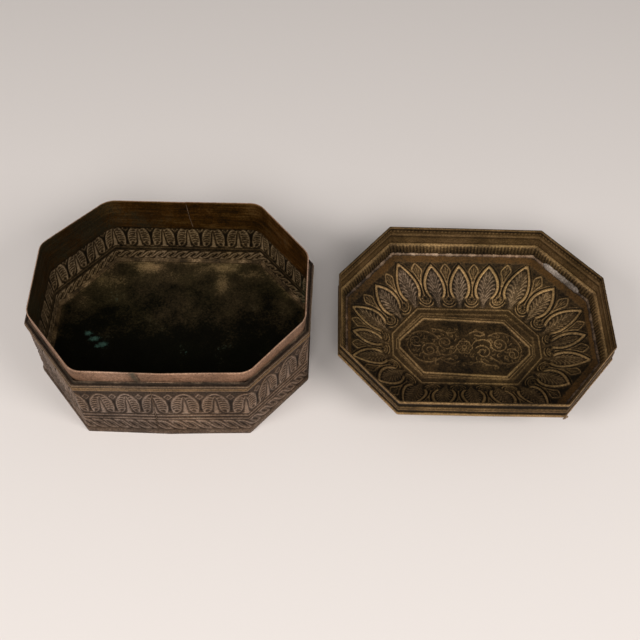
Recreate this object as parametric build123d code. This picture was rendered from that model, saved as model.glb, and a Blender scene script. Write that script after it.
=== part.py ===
from build123d import *
from math import atan2, degrees
import os

# An old eight-sided betel box of brass sheet, open, with its lift-off lid lying
# upside down beside it. Millimetres, +Z up. The origin is the middle of the
# underside of the box. The lid lies along +X.

# Outline that holds the whole box: a rectangle with its four corners cut off
LENGTH = 192.0
WIDTH = 155.0
CORNER_CUT_X = 39.5
CORNER_CUT_Y = 47.0

# Sheet, and the small radius where it is bent at a corner
SHEET = 0.9
BEND_RADIUS = 2.0

# Wall: an embossed strip that spreads a little towards the foot
WALL_HEIGHT = 57.0
WALL_SET_BACK = 1.9
WALL_SPREAD = 0.8
FOOT_BEAD_HEIGHT = 4.2
FOOT_BEAD_SHOULDER = 3.6
FOOT_BEAD_PROUD = 1.0
SEAM_X = -7.0
SEAM_WIDTH = 0.5

# Base plate, and the solder run round its inner corner
BASE_THICKNESS = 1.1
BASE_SOLDER_WIDTH = 2.6
BASE_SOLDER_HEIGHT = 2.2
BASE_SOLDER_EDGE = 0.2

# Two mouldings round the top of the wall, which carry the closed lid
LOWER_BEAD_HEIGHT = 4.0
LOWER_BEAD_SET_BACK = 0.7
UPPER_BEAD_HEIGHT = 1.8
UPPER_BEAD_SET_BACK = 1.2
BEAD_ROUNDING = 0.8

# Collar: two plain strips that stand up inside the lid
COLLAR_SET_BACK = 4.6
COLLAR_RADIUS = 14.0
COLLAR_RISE = 13.0
COLLAR_REACH_DOWN = 16.0
COLLAR_JOINT_WIDTH = 0.3
FRONT_JOINT_X = -12.0
BACK_JOINT_X = 4.0
JOINT_LEAN = 10.0
COLLAR_SOLDER_HEIGHT = 6.0

# Lid: a skirt, a sloping gadroon ring and a dished top sheet
LID_GAP = 15.5
LID_HEIGHT = 44.0
LID_CLEARANCE = 1.4
SKIRT_HEIGHT = 16.0
SKIRT_EDGE_HEIGHT = 1.8
SKIRT_FOOT_HEIGHT = 2.4
SKIRT_EDGE_PROUD = 0.5
SKIRT_FOOT_PROUD = 0.8
RING_RUN = 4.6
RING_DROP = 8.0
LEAF_RING_LENGTH = 168.0
LEAF_RING_WIDTH = 127.0
LEAF_RING_CUT_X = 35.0
LEAF_RING_HEIGHT = 16.0
PANEL_LENGTH = 110.0
PANEL_WIDTH = 68.0
PANEL_CUT_X = 20.0
PANEL_RADIUS = 1.0
RING_SOLDER_WIDTH = 1.6
RING_SOLDER_DIP = 0.4
LAP_SOLDER_RADIUS = 2.4
LAP_SOLDER_HEIGHT = 2.2
CRUST_LENGTH = 34.0
CRUST_WIDTH = 3.0
CRUST_THICKNESS = 0.6

# The collar stands back from the mouldings, and the lid's skirt slips over it. The lid
# lies beside the box, a gap away from the outline that holds it.
seat_height = WALL_HEIGHT
skirt_inner_set_back = COLLAR_SET_BACK - LID_CLEARANCE
skirt_outer_set_back = skirt_inner_set_back - SHEET
skirt_foot = LID_HEIGHT - SKIRT_HEIGHT
lid_x = LENGTH + LID_GAP
ring_inner_set_back = skirt_inner_set_back + RING_RUN
ring_inner_height = skirt_foot - RING_DROP
past = 1.0  # how far a cutting solid reaches past what it cuts
cut_depth = COLLAR_RADIUS  # how deep a slab is that cuts across a wall


def right_hand_corners(length, width, cut_x, set_back=0.0):
    """The four corners on the +X half of an eight-sided outline, from back to front.

    Its sides are moved in by set_back, and its slanting sides lie parallel to the box's."""
    cut_y = cut_x * CORNER_CUT_Y / CORNER_CUT_X
    slant = (cut_x**2 + cut_y**2) ** 0.5
    normal_x = cut_y / slant
    normal_y = cut_x / slant
    a = length / 2 - set_back
    b = width / 2 - set_back
    reach = normal_x * (length / 2 - cut_x) + normal_y * width / 2 - set_back
    x = (reach - normal_y * b) / normal_x
    y = (reach - normal_x * a) / normal_y
    return [(x, b), (a, y), (a, -y), (x, -b)]


def eight_sides(length, width, cut_x, set_back=0.0, radius=BEND_RADIUS, z=0.0):
    """An eight-sided face at height z, with its corners rounded."""
    right_hand = right_hand_corners(length, width, cut_x, set_back)
    left_hand = [(-x, -y) for x, y in right_hand]
    face = Polygon(*right_hand, *left_hand, align=None)
    return Pos(0, 0, z) * fillet(face.vertices(), radius)


def outline(set_back, z, radius=BEND_RADIUS):
    return eight_sides(LENGTH, WIDTH, CORNER_CUT_X, set_back, radius, z)


def tier(lower, upper):
    """The solid between two eight-sided faces, one above the other."""
    return loft([lower, upper], ruled=True)


def block(set_back, z0, z1, radius=BEND_RADIUS):
    """An upright eight-sided block."""
    return tier(outline(set_back, z0, radius), outline(set_back, z1, radius))


def wall_set_back(z):
    """Set-back of the wall's outer face at height z."""
    return WALL_SET_BACK - WALL_SPREAD * (1 - z / WALL_HEIGHT)


def wall_block(depth, z0, z1):
    """The space inside a face that lies depth under the wall's outer face."""
    return tier(
        outline(wall_set_back(z0) + depth, z0), outline(wall_set_back(z1) + depth, z1)
    )


def dish(*faces):
    """Tiers stacked one on the next."""
    tiers = [tier(low, high) for low, high in zip(faces, faces[1:])]
    return tiers[0].fuse(*tiers[1:]) if len(tiers) > 1 else tiers[0]


def leaning_slab(x, y, width, lean, z0, z1):
    """A thin upright slab across the collar, tipped by lean degrees about its middle."""
    reach = 2 * (z1 - z0)
    return Pos(x, y, (z0 + z1) / 2) * Rot(0, lean, 0) * Box(width, cut_depth, reach)


def save(shape, node):
    export_step(shape, f"parts/{node}.step")


os.makedirs("parts", exist_ok=True)

# Wall strip with its plain foot bead, and the seam where its ends meet
wall = wall_block(0, 0, WALL_HEIGHT)
foot_bead = dish(
    outline(wall_set_back(0) - FOOT_BEAD_PROUD, 0),
    outline(wall_set_back(FOOT_BEAD_SHOULDER) - FOOT_BEAD_PROUD, FOOT_BEAD_SHOULDER),
    outline(wall_set_back(FOOT_BEAD_HEIGHT), FOOT_BEAD_HEIGHT),
)
wall_ring = wall + foot_bead - wall_block(SHEET, -past, WALL_HEIGHT + past)
seam = Pos(SEAM_X, -WIDTH / 2, WALL_HEIGHT / 2) * Box(SEAM_WIDTH, cut_depth, WALL_HEIGHT + past)
save(wall_ring - seam, "box_wall")
save(wall_ring & seam, "wall_seam_solder")

# Base plate inside the foot of the wall, and the solder round it
save(wall_block(SHEET, 0, BASE_THICKNESS), "base_plate")
solder_top = BASE_THICKNESS + BASE_SOLDER_HEIGHT
base_solder = wall_block(SHEET, BASE_THICKNESS, solder_top) - tier(
    outline(wall_set_back(0) + SHEET + BASE_SOLDER_WIDTH, BASE_THICKNESS),
    outline(wall_set_back(solder_top) + SHEET + BASE_SOLDER_EDGE, solder_top),
)
save(base_solder, "base_solder")

# Mouldings that clasp the top of the wall
upper_bead_foot = seat_height - UPPER_BEAD_HEIGHT
lower_bead_foot = upper_bead_foot - LOWER_BEAD_HEIGHT
inside_of_beads = wall_block(0, lower_bead_foot - past, WALL_HEIGHT + past)
upper_bead = block(UPPER_BEAD_SET_BACK, upper_bead_foot, seat_height)
upper_bead = fillet(upper_bead.edges().group_by(Axis.Z)[-1], BEAD_ROUNDING / 2)
lower_bead = block(LOWER_BEAD_SET_BACK, lower_bead_foot, upper_bead_foot)
lower_bead = fillet(
    lower_bead.edges().group_by(Axis.Z)[0] + lower_bead.edges().group_by(Axis.Z)[-1],
    BEAD_ROUNDING,
)
save(upper_bead - inside_of_beads, "shoulder_upper_bead")
save(lower_bead - inside_of_beads, "shoulder_lower_bead")

# Collar of two strips, cut apart by a leaning joint at the front and the back
collar_foot = seat_height - COLLAR_REACH_DOWN
collar_top = seat_height + COLLAR_RISE
collar = block(COLLAR_SET_BACK, collar_foot, collar_top, COLLAR_RADIUS) - block(
    COLLAR_SET_BACK + SHEET, collar_foot - past, collar_top + past, COLLAR_RADIUS - SHEET
)
front_joint = leaning_slab(
    FRONT_JOINT_X, -WIDTH / 2, COLLAR_JOINT_WIDTH, -JOINT_LEAN, collar_foot, collar_top
)
back_joint = leaning_slab(
    BACK_JOINT_X, WIDTH / 2, COLLAR_JOINT_WIDTH, -JOINT_LEAN, collar_foot, collar_top
)
halves = (collar - front_joint - back_joint).solids().sort_by(Axis.X)
save(halves[0], "collar_left")
save(halves[-1], "collar_right")
save(Compound([collar & front_joint, collar & back_joint]), "collar_joint_solder")

# Solder that fills the gap between the collar and the mouth of the wall
collar_solder_foot = seat_height - COLLAR_SOLDER_HEIGHT
collar_solder = wall_block(SHEET, collar_solder_foot, seat_height) - block(
    COLLAR_SET_BACK, collar_solder_foot - past, seat_height + past, COLLAR_RADIUS
)
save(collar_solder, "collar_solder")

# Lid skirt, with a beaded edge at its mouth and a thicker bead at its foot
skirt = block(skirt_outer_set_back, skirt_foot, LID_HEIGHT)
edge_bead = block(
    skirt_outer_set_back - SKIRT_EDGE_PROUD, LID_HEIGHT - SKIRT_EDGE_HEIGHT, LID_HEIGHT
)
edge_bead = fillet(
    edge_bead.edges().group_by(Axis.Z)[0] + edge_bead.edges().group_by(Axis.Z)[-1],
    SKIRT_EDGE_PROUD * 0.8,
)
foot_roll = block(
    skirt_outer_set_back - SKIRT_FOOT_PROUD, skirt_foot, skirt_foot + SKIRT_FOOT_HEIGHT
)
foot_roll = fillet(
    foot_roll.edges().group_by(Axis.Z)[0] + foot_roll.edges().group_by(Axis.Z)[-1],
    SKIRT_FOOT_PROUD * 0.8,
)
skirt_bore = block(skirt_inner_set_back, skirt_foot - past, LID_HEIGHT + past)
lid_place = Pos(lid_x, 0, 0)
lid_skirt = skirt + edge_bead + foot_roll - skirt_bore
save(lid_place * lid_skirt, "lid_skirt")

# Sloping gadroon ring from the skirt's foot in to the top sheet
ring_slope = (RING_RUN**2 + RING_DROP**2) ** 0.5 / RING_RUN
ring_rise = SHEET * ring_slope
ring_under = dish(
    outline(ring_inner_set_back, ring_inner_height - ring_rise),
    outline(skirt_inner_set_back, skirt_foot - ring_rise),
    outline(skirt_inner_set_back, skirt_foot),
)
ring_over = dish(
    outline(ring_inner_set_back, ring_inner_height - ring_rise - past),
    outline(ring_inner_set_back, ring_inner_height),
    outline(skirt_inner_set_back, skirt_foot),
)
save(lid_place * (ring_under - ring_over), "lid_gadroon_ring")

# Dished top sheet: flat panel, leaf slope and a narrow flat band
leaf_slope_run = (LEAF_RING_WIDTH - PANEL_WIDTH) / 2
leaf_rise = SHEET * (leaf_slope_run**2 + LEAF_RING_HEIGHT**2) ** 0.5 / leaf_slope_run


def top_faces(z_shift_panel, z_shift):
    """The faces of the top sheet's dish, from its panel out to its edge."""
    return [
        eight_sides(PANEL_LENGTH, PANEL_WIDTH, PANEL_CUT_X, 0, PANEL_RADIUS, z_shift_panel),
        eight_sides(
            LEAF_RING_LENGTH,
            LEAF_RING_WIDTH,
            LEAF_RING_CUT_X,
            0,
            BEND_RADIUS,
            LEAF_RING_HEIGHT + z_shift,
        ),
        outline(ring_inner_set_back, ring_inner_height - SHEET + z_shift),
    ]


sheet_edge = outline(ring_inner_set_back, ring_inner_height - SHEET + leaf_rise)
top_sheet = dish(*top_faces(0, 0), sheet_edge) - dish(*top_faces(SHEET, leaf_rise))
save(lid_place * top_sheet, "lid_top_sheet")

# Solder along the joint of ring and top sheet
ring_steepness = RING_DROP / RING_RUN


def on_ring(outward, inset=0.0):
    """An outline on the ring's inner face, so far outward from its joint."""
    return outline(
        ring_inner_set_back - outward + inset, ring_inner_height + outward * ring_steepness
    )


solder_toe = outline(
    ring_inner_set_back + RING_SOLDER_WIDTH, ring_inner_height - RING_SOLDER_DIP
)
ring_solder = dish(solder_toe, on_ring(0), on_ring(RING_SOLDER_WIDTH))
ring_solder = ring_solder - tier(solder_toe, on_ring(RING_SOLDER_WIDTH)) - top_sheet
save(lid_place * ring_solder, "lid_ring_solder")

# Lump of solder on the lap at the front right corner of the skirt's foot
lap_x, lap_y = right_hand_corners(
    LENGTH, WIDTH, CORNER_CUT_X, skirt_outer_set_back - SKIRT_FOOT_PROUD
)[-1]
lap_solder = Pos(lap_x, lap_y, skirt_foot + LAP_SOLDER_HEIGHT / 2) * scale(
    Sphere(LAP_SOLDER_RADIUS), by=(1, 1, LAP_SOLDER_HEIGHT / LAP_SOLDER_RADIUS / 2)
)
lap_solder = lap_solder - lid_skirt - skirt_bore
save(lid_place * lap_solder, "lid_skirt_solder")

# Crust of an old repair on the ring, along its slanting side at the back right
crust_inner = RING_SOLDER_WIDTH
crust_outer = RING_SOLDER_WIDTH + CRUST_WIDTH
crust = tier(on_ring(crust_inner), on_ring(crust_outer)) - tier(
    on_ring(crust_inner, CRUST_THICKNESS), on_ring(crust_outer, CRUST_THICKNESS)
)
crust_stretch = Pos((LENGTH - CORNER_CUT_X) / 2, (WIDTH - CORNER_CUT_Y) / 2, skirt_foot)
crust_turn = Rot(0, 0, -degrees(atan2(CORNER_CUT_Y, CORNER_CUT_X)))
crust_box = Box(CRUST_LENGTH, LID_HEIGHT, LID_HEIGHT)
save(lid_place * (crust & crust_stretch * crust_turn * crust_box), "lid_repair_crust")
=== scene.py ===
# %% [markdown]
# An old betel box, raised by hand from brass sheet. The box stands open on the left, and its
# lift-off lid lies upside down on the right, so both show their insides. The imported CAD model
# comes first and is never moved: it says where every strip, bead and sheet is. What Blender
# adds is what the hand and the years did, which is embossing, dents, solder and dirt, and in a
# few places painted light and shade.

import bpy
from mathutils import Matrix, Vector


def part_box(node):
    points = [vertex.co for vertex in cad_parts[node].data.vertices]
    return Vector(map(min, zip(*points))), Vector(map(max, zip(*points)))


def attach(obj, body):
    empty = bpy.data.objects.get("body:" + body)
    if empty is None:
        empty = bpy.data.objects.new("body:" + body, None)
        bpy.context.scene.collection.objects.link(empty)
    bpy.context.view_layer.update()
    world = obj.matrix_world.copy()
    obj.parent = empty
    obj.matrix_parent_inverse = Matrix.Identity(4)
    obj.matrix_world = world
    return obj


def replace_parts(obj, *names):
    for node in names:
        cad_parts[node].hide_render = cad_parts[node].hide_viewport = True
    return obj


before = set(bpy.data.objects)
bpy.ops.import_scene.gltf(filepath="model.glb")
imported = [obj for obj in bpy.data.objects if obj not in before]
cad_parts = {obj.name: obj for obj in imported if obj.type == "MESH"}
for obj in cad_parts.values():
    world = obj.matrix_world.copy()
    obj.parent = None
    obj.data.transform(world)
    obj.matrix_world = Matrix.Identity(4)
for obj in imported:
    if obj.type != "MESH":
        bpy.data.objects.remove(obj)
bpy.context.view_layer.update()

# %% [markdown]
# Numpy holds each surface as a grid of points, which is much quicker than moving vertices one
# at a time. A maker thinks in millimetres, so the grids are in millimetres, and only the mesh
# builder turns them into Blender's metres.

# %% Tools and units
import math

import bmesh
import bpy
import numpy as np
from mathutils import Matrix, Vector

MM = 0.001


def size_in_mm(node):
    """The lowest and highest corner of a CAD node, in millimetres."""
    low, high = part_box(node)
    return np.array(low) / MM, np.array(high) / MM


print("Blender", bpy.app.version_string, "and numpy", np.__version__)

# %% [markdown]
# The camera stands in front and well above, looking down into the box. Its place and its turn
# were worked out from the corners of the real thing, so they are plain numbers. A camera looks
# along its own minus Z, so its matrix has the right, up and backward directions as columns.

# %% Camera
CAMERA_PLACE = (95.0, -409.35, 578.8)
CAMERA_YAW, CAMERA_PITCH, CAMERA_ROLL = (math.radians(a) for a in (0.80, -53.35, 1.72))
LENS = 54.92


def make_camera():
    data = bpy.data.cameras.new("camera")
    data.lens = LENS
    camera = bpy.data.objects.new("camera", data)
    bpy.context.scene.collection.objects.link(camera)
    level = Vector((math.cos(CAMERA_YAW), -math.sin(CAMERA_YAW), 0))
    ahead = Vector((
        math.sin(CAMERA_YAW) * math.cos(CAMERA_PITCH),
        math.cos(CAMERA_YAW) * math.cos(CAMERA_PITCH),
        math.sin(CAMERA_PITCH),
    ))
    upright = level.cross(ahead)
    right = level * math.cos(CAMERA_ROLL) + upright * math.sin(CAMERA_ROLL)
    up = upright * math.cos(CAMERA_ROLL) - level * math.sin(CAMERA_ROLL)
    turn = Matrix((right, up, -ahead)).transposed()
    camera.matrix_world = Matrix.Translation(Vector(CAMERA_PLACE) * MM) @ turn.to_4x4()
    bpy.context.scene.camera = camera
    return camera


print("camera at", tuple(round(v, 3) for v in make_camera().matrix_world.translation))

# %% [markdown]
# Materials and the world are graphs of nodes. With a helper that adds a node and one that does
# a sum, a long recipe reads as a list of steps.

# %% Node helpers
def add_node(tree, kind, **settings):
    """Adds a node, with its settings."""
    made = tree.nodes.new(kind)
    for key, value in settings.items():
        setattr(made, key, value)
    return made


def arithmetic(tree, kind, first, *others):
    """Adds up several sockets, or joins them by another kind of sum."""
    for other in others:
        made = add_node(tree, "ShaderNodeMath", operation=kind)
        tree.links.new(first, made.inputs[0])
        tree.links.new(other, made.inputs[1])
        first = made.outputs[0]
    return first


print("two helpers for nodes")

# %% [markdown]
# A pale cloth-covered table, and soft light from the front and both sides. The lamps stand at
# about the height of the camera, so the front wall keeps the light off the front of the floor
# inside the box, and two shadows meet in the gap between box and lid. The world is pale where
# the camera or a reflection sees it, and only a weak lamp, so hollows stay dark.

# %% Floor, lamps and world
FLOOR_COLOUR = (0.70, 0.64, 0.60, 1)
WORLD_SEEN = (0.62, 0.58, 0.56, 1)
WORLD_LIGHT = 0.24
FLOOR_SIZE = 6
LAMP_AIM = Vector((0.10, 0.0, 0.0))
# Each lamp's place and size in metres, and its power
LAMPS = {
    "left_lamp": ((-0.95, -0.80, 1.05), 0.75, 13.5),
    "right_lamp": ((1.15, -0.80, 1.05), 0.75, 13.5),
    "front_lamp": ((0.10, -1.30, 1.15), 0.80, 12.5),
}


def make_floor():
    bpy.ops.mesh.primitive_plane_add(size=FLOOR_SIZE, location=(0, 0, 0))
    floor = bpy.context.object
    floor.name = "floor"
    paint = bpy.data.materials.new("pale_floor")
    paint.use_nodes = True
    shader = paint.node_tree.nodes["Principled BSDF"]
    shader.inputs["Base Color"].default_value = FLOOR_COLOUR
    shader.inputs["Roughness"].default_value = 0.9
    shader.inputs["Specular IOR Level"].default_value = 0.15
    floor.data.materials.append(paint)
    return floor


def make_lamp(name, place, size, power):
    data = bpy.data.lights.new(name, "AREA")
    data.shape = "DISK"
    data.size = size
    data.energy = power
    lamp = bpy.data.objects.new(name, data)
    bpy.context.scene.collection.objects.link(lamp)
    lamp.location = place
    lamp.rotation_euler = (LAMP_AIM - Vector(place)).to_track_quat("-Z", "Y").to_euler()
    return lamp


def make_world():
    world = bpy.data.worlds.new("studio")
    world.use_nodes = True
    tree = world.node_tree
    lights = tree.nodes["Background"]
    lights.inputs["Color"].default_value = (1, 1, 1, 1)
    lights.inputs["Strength"].default_value = WORLD_LIGHT
    seen = add_node(tree, "ShaderNodeBackground")
    seen.inputs["Color"].default_value = WORLD_SEEN
    path = add_node(tree, "ShaderNodeLightPath")
    rays = [path.outputs[f"Is {kind} Ray"] for kind in ("Camera", "Glossy", "Transmission")]
    mix = add_node(tree, "ShaderNodeMixShader")
    tree.links.new(arithmetic(tree, "MAXIMUM", *rays), mix.inputs["Fac"])
    tree.links.new(lights.outputs[0], mix.inputs[1])
    tree.links.new(seen.outputs[0], mix.inputs[2])
    tree.links.new(mix.outputs[0], tree.nodes["World Output"].inputs["Surface"])
    bpy.context.scene.world = world


make_floor()
for name, settings in LAMPS.items():
    make_lamp(name, *settings)
make_world()
bpy.context.scene.view_settings.view_transform = "Standard"
print("floor, world and", len(LAMPS), "lamps")

# %% [markdown]
# Every ring of the box is the same eight-sided outline, moved in by some set-back: a rectangle
# with its corners cut off, and each bend a little rounded. A side is held as the direction it
# faces and its distance from the middle, so a set-back is only a subtraction. The sides run
# from the front to the right, and so on round.

# %% The eight-sided outline
FOOT_SET_BACK = 0.1
wall_low, wall_high = size_in_mm("box_wall")
OUTLINE_LENGTH, OUTLINE_WIDTH, WALL_HEIGHT = wall_high - wall_low + [2 * FOOT_SET_BACK, 2 * FOOT_SET_BACK, 0]
CORNER_CUT_X = 39.5
CORNER_CUT_Y = 47.0
BEND_RADIUS = 2.0
FRONT, BACK = 0, 4

slant_length = math.hypot(CORNER_CUT_X, CORNER_CUT_Y)
slant_x, slant_y = CORNER_CUT_Y / slant_length, CORNER_CUT_X / slant_length
FACING = np.array([
    (0, -1), (slant_x, -slant_y), (1, 0), (slant_x, slant_y),
    (0, 1), (-slant_x, slant_y), (-1, 0), (-slant_x, -slant_y),
])
facing_next = np.roll(FACING, -1, axis=0)
facing_angle = np.arctan2(FACING[:, 1], FACING[:, 0])
bend_angle = np.arccos((FACING * facing_next).sum(1))


def reaches(length, width, cut_x):
    """How far each of the eight sides is from the middle."""
    slant = slant_x * (length / 2 - cut_x) + slant_y * width / 2
    return np.array([width / 2, slant, length / 2, slant] * 2)


def straights(reach, radius):
    """Where each side's straight stretch starts and ends, and the centre of the bend after it."""
    after = np.roll(reach, -1)
    across = FACING[:, 0] * facing_next[:, 1] - FACING[:, 1] * facing_next[:, 0]
    corner_x = (reach * facing_next[:, 1] - after * FACING[:, 1]) / across
    corner_y = (FACING[:, 0] * after - facing_next[:, 0] * reach) / across
    corners = np.stack([corner_x, corner_y], axis=1)
    both = (FACING + facing_next) / (1 + np.cos(bend_angle))[:, None]
    centres = corners - radius * both
    ends = centres + radius * FACING
    starts = np.roll(centres, 1, axis=0) + radius * FACING
    return starts, ends, centres


BOX = reaches(OUTLINE_LENGTH, OUTLINE_WIDTH, CORNER_CUT_X)
print("outline", OUTLINE_LENGTH.round(1), "by", OUTLINE_WIDTH.round(1), "mm")

# %% [markdown]
# Stations are the places round the outline where every ring has a point: evenly spaced along
# the straight stretches, and a few round each bend. Rings made at the same stations join up
# into a tidy grid of four-cornered faces, so a bead or a line of dots runs clean round the
# corners. That is why the pieces are hoops of rings, and not a displaced cylinder.

# %% Stations, rings and rows
class Stations:
    """Places round the outline: which side each is on, how far along, and if it is on a bend."""

    def __init__(self, spacing, reach=BOX, radius=BEND_RADIUS, bend_steps=5):
        starts, ends, _ = straights(reach, radius)
        side, share, bent = [], [], []
        for number, length in enumerate(np.linalg.norm(ends - starts, axis=1)):
            count = round(length / spacing)
            side += [number] * (count + bend_steps)
            share += [k / count for k in range(count)] + [k / bend_steps for k in range(bend_steps)]
            bent += [False] * count + [True] * bend_steps
        self.side, self.share, self.bent = np.array(side), np.array(share), np.array(bent)

    def ring(self, reach, z, radius=BEND_RADIUS):
        """A closed ring of points at height z."""
        starts, ends, centres = straights(reach, radius)
        share = self.share[:, None]
        straight = starts[self.side] + share * (ends - starts)[self.side]
        angle = facing_angle[self.side] + self.share * bend_angle[self.side]
        bend = centres[self.side] + radius * np.stack([np.cos(angle), np.sin(angle)], axis=1)
        flat = np.where(self.bent[:, None], bend, straight)
        return np.column_stack([flat, np.full(len(flat), float(z))])


def lay_rows(rings, spacing):
    """Rows of points from ring to ring, no further apart than the spacing."""
    rows = [rings[0]]
    for low, high in zip(rings, rings[1:]):
        gap = np.linalg.norm(high - low, axis=1).mean()
        steps = max(1, math.ceil(gap / spacing))
        rows += [low + (high - low) * k / steps for k in range(1, steps + 1)]
    return np.array(rows)


def lay_profile(stations, profile, reach=BOX, radius=BEND_RADIUS):
    """A row for each (set-back, height) point of a profile."""
    return np.array([stations.ring(reach - back, z, radius) for back, z in profile])


def normals(rows):
    """The outward direction at each point of a closed grid."""
    along = np.roll(rows, -1, axis=1) - np.roll(rows, 1, axis=1)
    up = np.gradient(rows, axis=0)
    across = np.cross(along, up)
    return across / np.linalg.norm(across, axis=2, keepdims=True)


def distance_round(ring):
    """How far each point of a closed ring is from the first one, and the whole way round."""
    steps = np.linalg.norm(np.roll(ring, -1, axis=0) - ring, axis=1)
    return np.concatenate([[0], np.cumsum(steps)[:-1]]), steps.sum()


print("with 5 mm between its stations a ring has", len(Stations(5.0).side), "points")

# %% [markdown]
# No strip of hand-cut brass is straight. A few slow sine waves, with whole numbers of waves
# round the box so that they meet, give each piece its own wander of some tenths of a
# millimetre. The seed is fixed, so the box is the same each time.
#
# The corners have moved too. Each has its own shift, by height, which fades towards the
# middle. All pieces of the box share one table of shifts, and all pieces of the lid another,
# so solder, beads and sheet stay in touch. The collar never leans out so far that the closed
# lid would not pass over it.

# %% Hand-made unevenness
chance = np.random.default_rng(11)


def wander(share_round, waves=(2, 3, 5, 8, 13)):
    """A smooth random line from about -1 to 1 for places from 0 to 1 round the box."""
    total = np.zeros_like(share_round)
    for count in waves:
        total += np.sin(2 * np.pi * (count * share_round + chance.random())) / math.sqrt(count)
    return total / 2


corners = straights(BOX, 0)[2]
KNOTS = np.append(np.arctan2(corners[:, 1], corners[:, 0]), -np.pi / 2)
# The corners run from the front right end of the front; the last shift is at its middle.
SHIFTS = {
    "box": {
        0: [(-1.7, 1.8), (-2.6, -0.9), (-1.5, 0), (-0.5, 0), (0.5, 0), (1.5, 0.5), (2.1, 3.0),
            (1.8, 1.2), (0, 0)],
        52: [(-1.4, 1.4), (-1.5, -1.0), (0.5, -2.0), (0.5, 0), (0.5, 0), (-0.5, 1.5), (-0.5, 3.5),
             (-0.2, -0.4), (0, 0)],
        70: [(1.3, -0.2), (0, -1.6), (0.9, -2.3), (1.6, 0.3), (1.8, 0), (-1.4, 1.2), (0, -0.3),
             (-1.0, -0.5), (0, -0.8)],
    },
    "lid": {
        0: [(0, 0)] * 9,
        28: [(-0.6, -0.3), (-0.5, 0), (0, 0.5), (0, 0), (-0.3, 0), (0.3, 0), (0, 0), (0.2, -0.3),
             (0, -0.5)],
        44: [(-0.5, -0.4), (-0.5, 0.6), (0.2, 1.3), (0.2, -0.4), (-0.6, 0.3), (0.3, 0.5),
             (0.9, -2.0), (0.4, -0.3), (0, -0.6)],
    },
}
STEADY_REACH = 60.0
# In front, the solder on the skirt's lap may stand out this much further than the sheet.
LAP_ROOM = 1.4


def half_size(node):
    """Half the length and half the width of a CAD node."""
    low, high = size_in_mm(node)
    return (high - low)[:2] / 2


FARTHEST = {"box": half_size("box_wall"), "lid": half_size("lid_skirt")}


def settle(points, body):
    """Moves points as the corners near them have moved, but no further out than the CAD model."""
    x, y, z = points[..., 0], points[..., 1], points[..., 2]
    angle = np.arctan2(y, x)
    levels = []
    for height, moves in SHIFTS[body].items():
        parts = [np.interp(angle, KNOTS, part, period=2 * np.pi) for part in np.transpose(moves)]
        levels.append((height, np.stack(parts, axis=-1)))
    shift = levels[0][1]
    for (low, first), (high, second) in zip(levels, levels[1:]):
        shift = shift + np.clip((z - low) / (high - low), 0, 1)[..., None] * (second - first)
    shift = shift * np.clip(np.hypot(x, y) / STEADY_REACH, 0, 1)[..., None]
    moved = points[..., :2] + shift
    far_x, far_y = FARTHEST[body]
    moved_x = np.clip(moved[..., 0], -far_x, far_x)
    moved_y = np.clip(moved[..., 1], -far_y - LAP_ROOM, far_y)
    return np.dstack([moved_x, moved_y, z])


print("the box's corners have moved up to", np.abs(list(SHIFTS["box"].values())).max(), "mm")

# %% [markdown]
# Two jobs come with every grid. It needs a flat map for baking, laid out in strips one above
# the other, because one long strip would waste the map. And a sheet whose last row folds onto
# a line, or a run of solder that comes to a point, has to be welded shut there.

# %% Maps and ends
MAP_FILL = 0.96
WELD_DISTANCE = 0.02


def fill_layer(layer, key, values):
    """Writes one number or one pair of numbers to every point or corner of a mesh."""
    layer.foreach_set(key, np.ascontiguousarray(values, dtype=np.float32).ravel())


def flat_map(mesh, rows, grid_places):
    """Lays the grid out flat for baking, as strips one above the other."""
    high, wide = rows.shape[:2]
    length = np.linalg.norm(np.diff(rows[high // 2], axis=0), axis=1).sum()
    height = np.linalg.norm(np.diff(rows[:, 0], axis=0), axis=1).sum()
    strips = max(1, round(math.sqrt(length / height)))
    strip_wide = math.ceil(wide / strips)
    strip = grid_places[:, :1, 1] // strip_wide
    margin = (1 - MAP_FILL) / 2
    across = (grid_places[..., 1] - strip * strip_wide) / strip_wide * MAP_FILL + margin
    upward = (strip + grid_places[..., 0] / high * MAP_FILL + margin) / strips
    spots = np.zeros((len(mesh.loops), 2))
    spots[: across.size] = np.stack([across, upward], axis=2).reshape(-1, 2)
    fill_layer(mesh.uv_layers.new(name="OFBake").data, "uv", spots)


def zip_ends(mesh):
    """Closes a grid whose first and last rows fold onto a line or a point."""
    work = bmesh.new()
    work.from_mesh(mesh)
    edge = [v for v in work.verts if v.is_boundary]
    bmesh.ops.remove_doubles(work, verts=edge, dist=WELD_DISTANCE * MM)
    work.to_mesh(mesh)
    work.free()


print("maps are filled to", MAP_FILL, "and ends welded within", WELD_DISTANCE, "mm")
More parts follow.
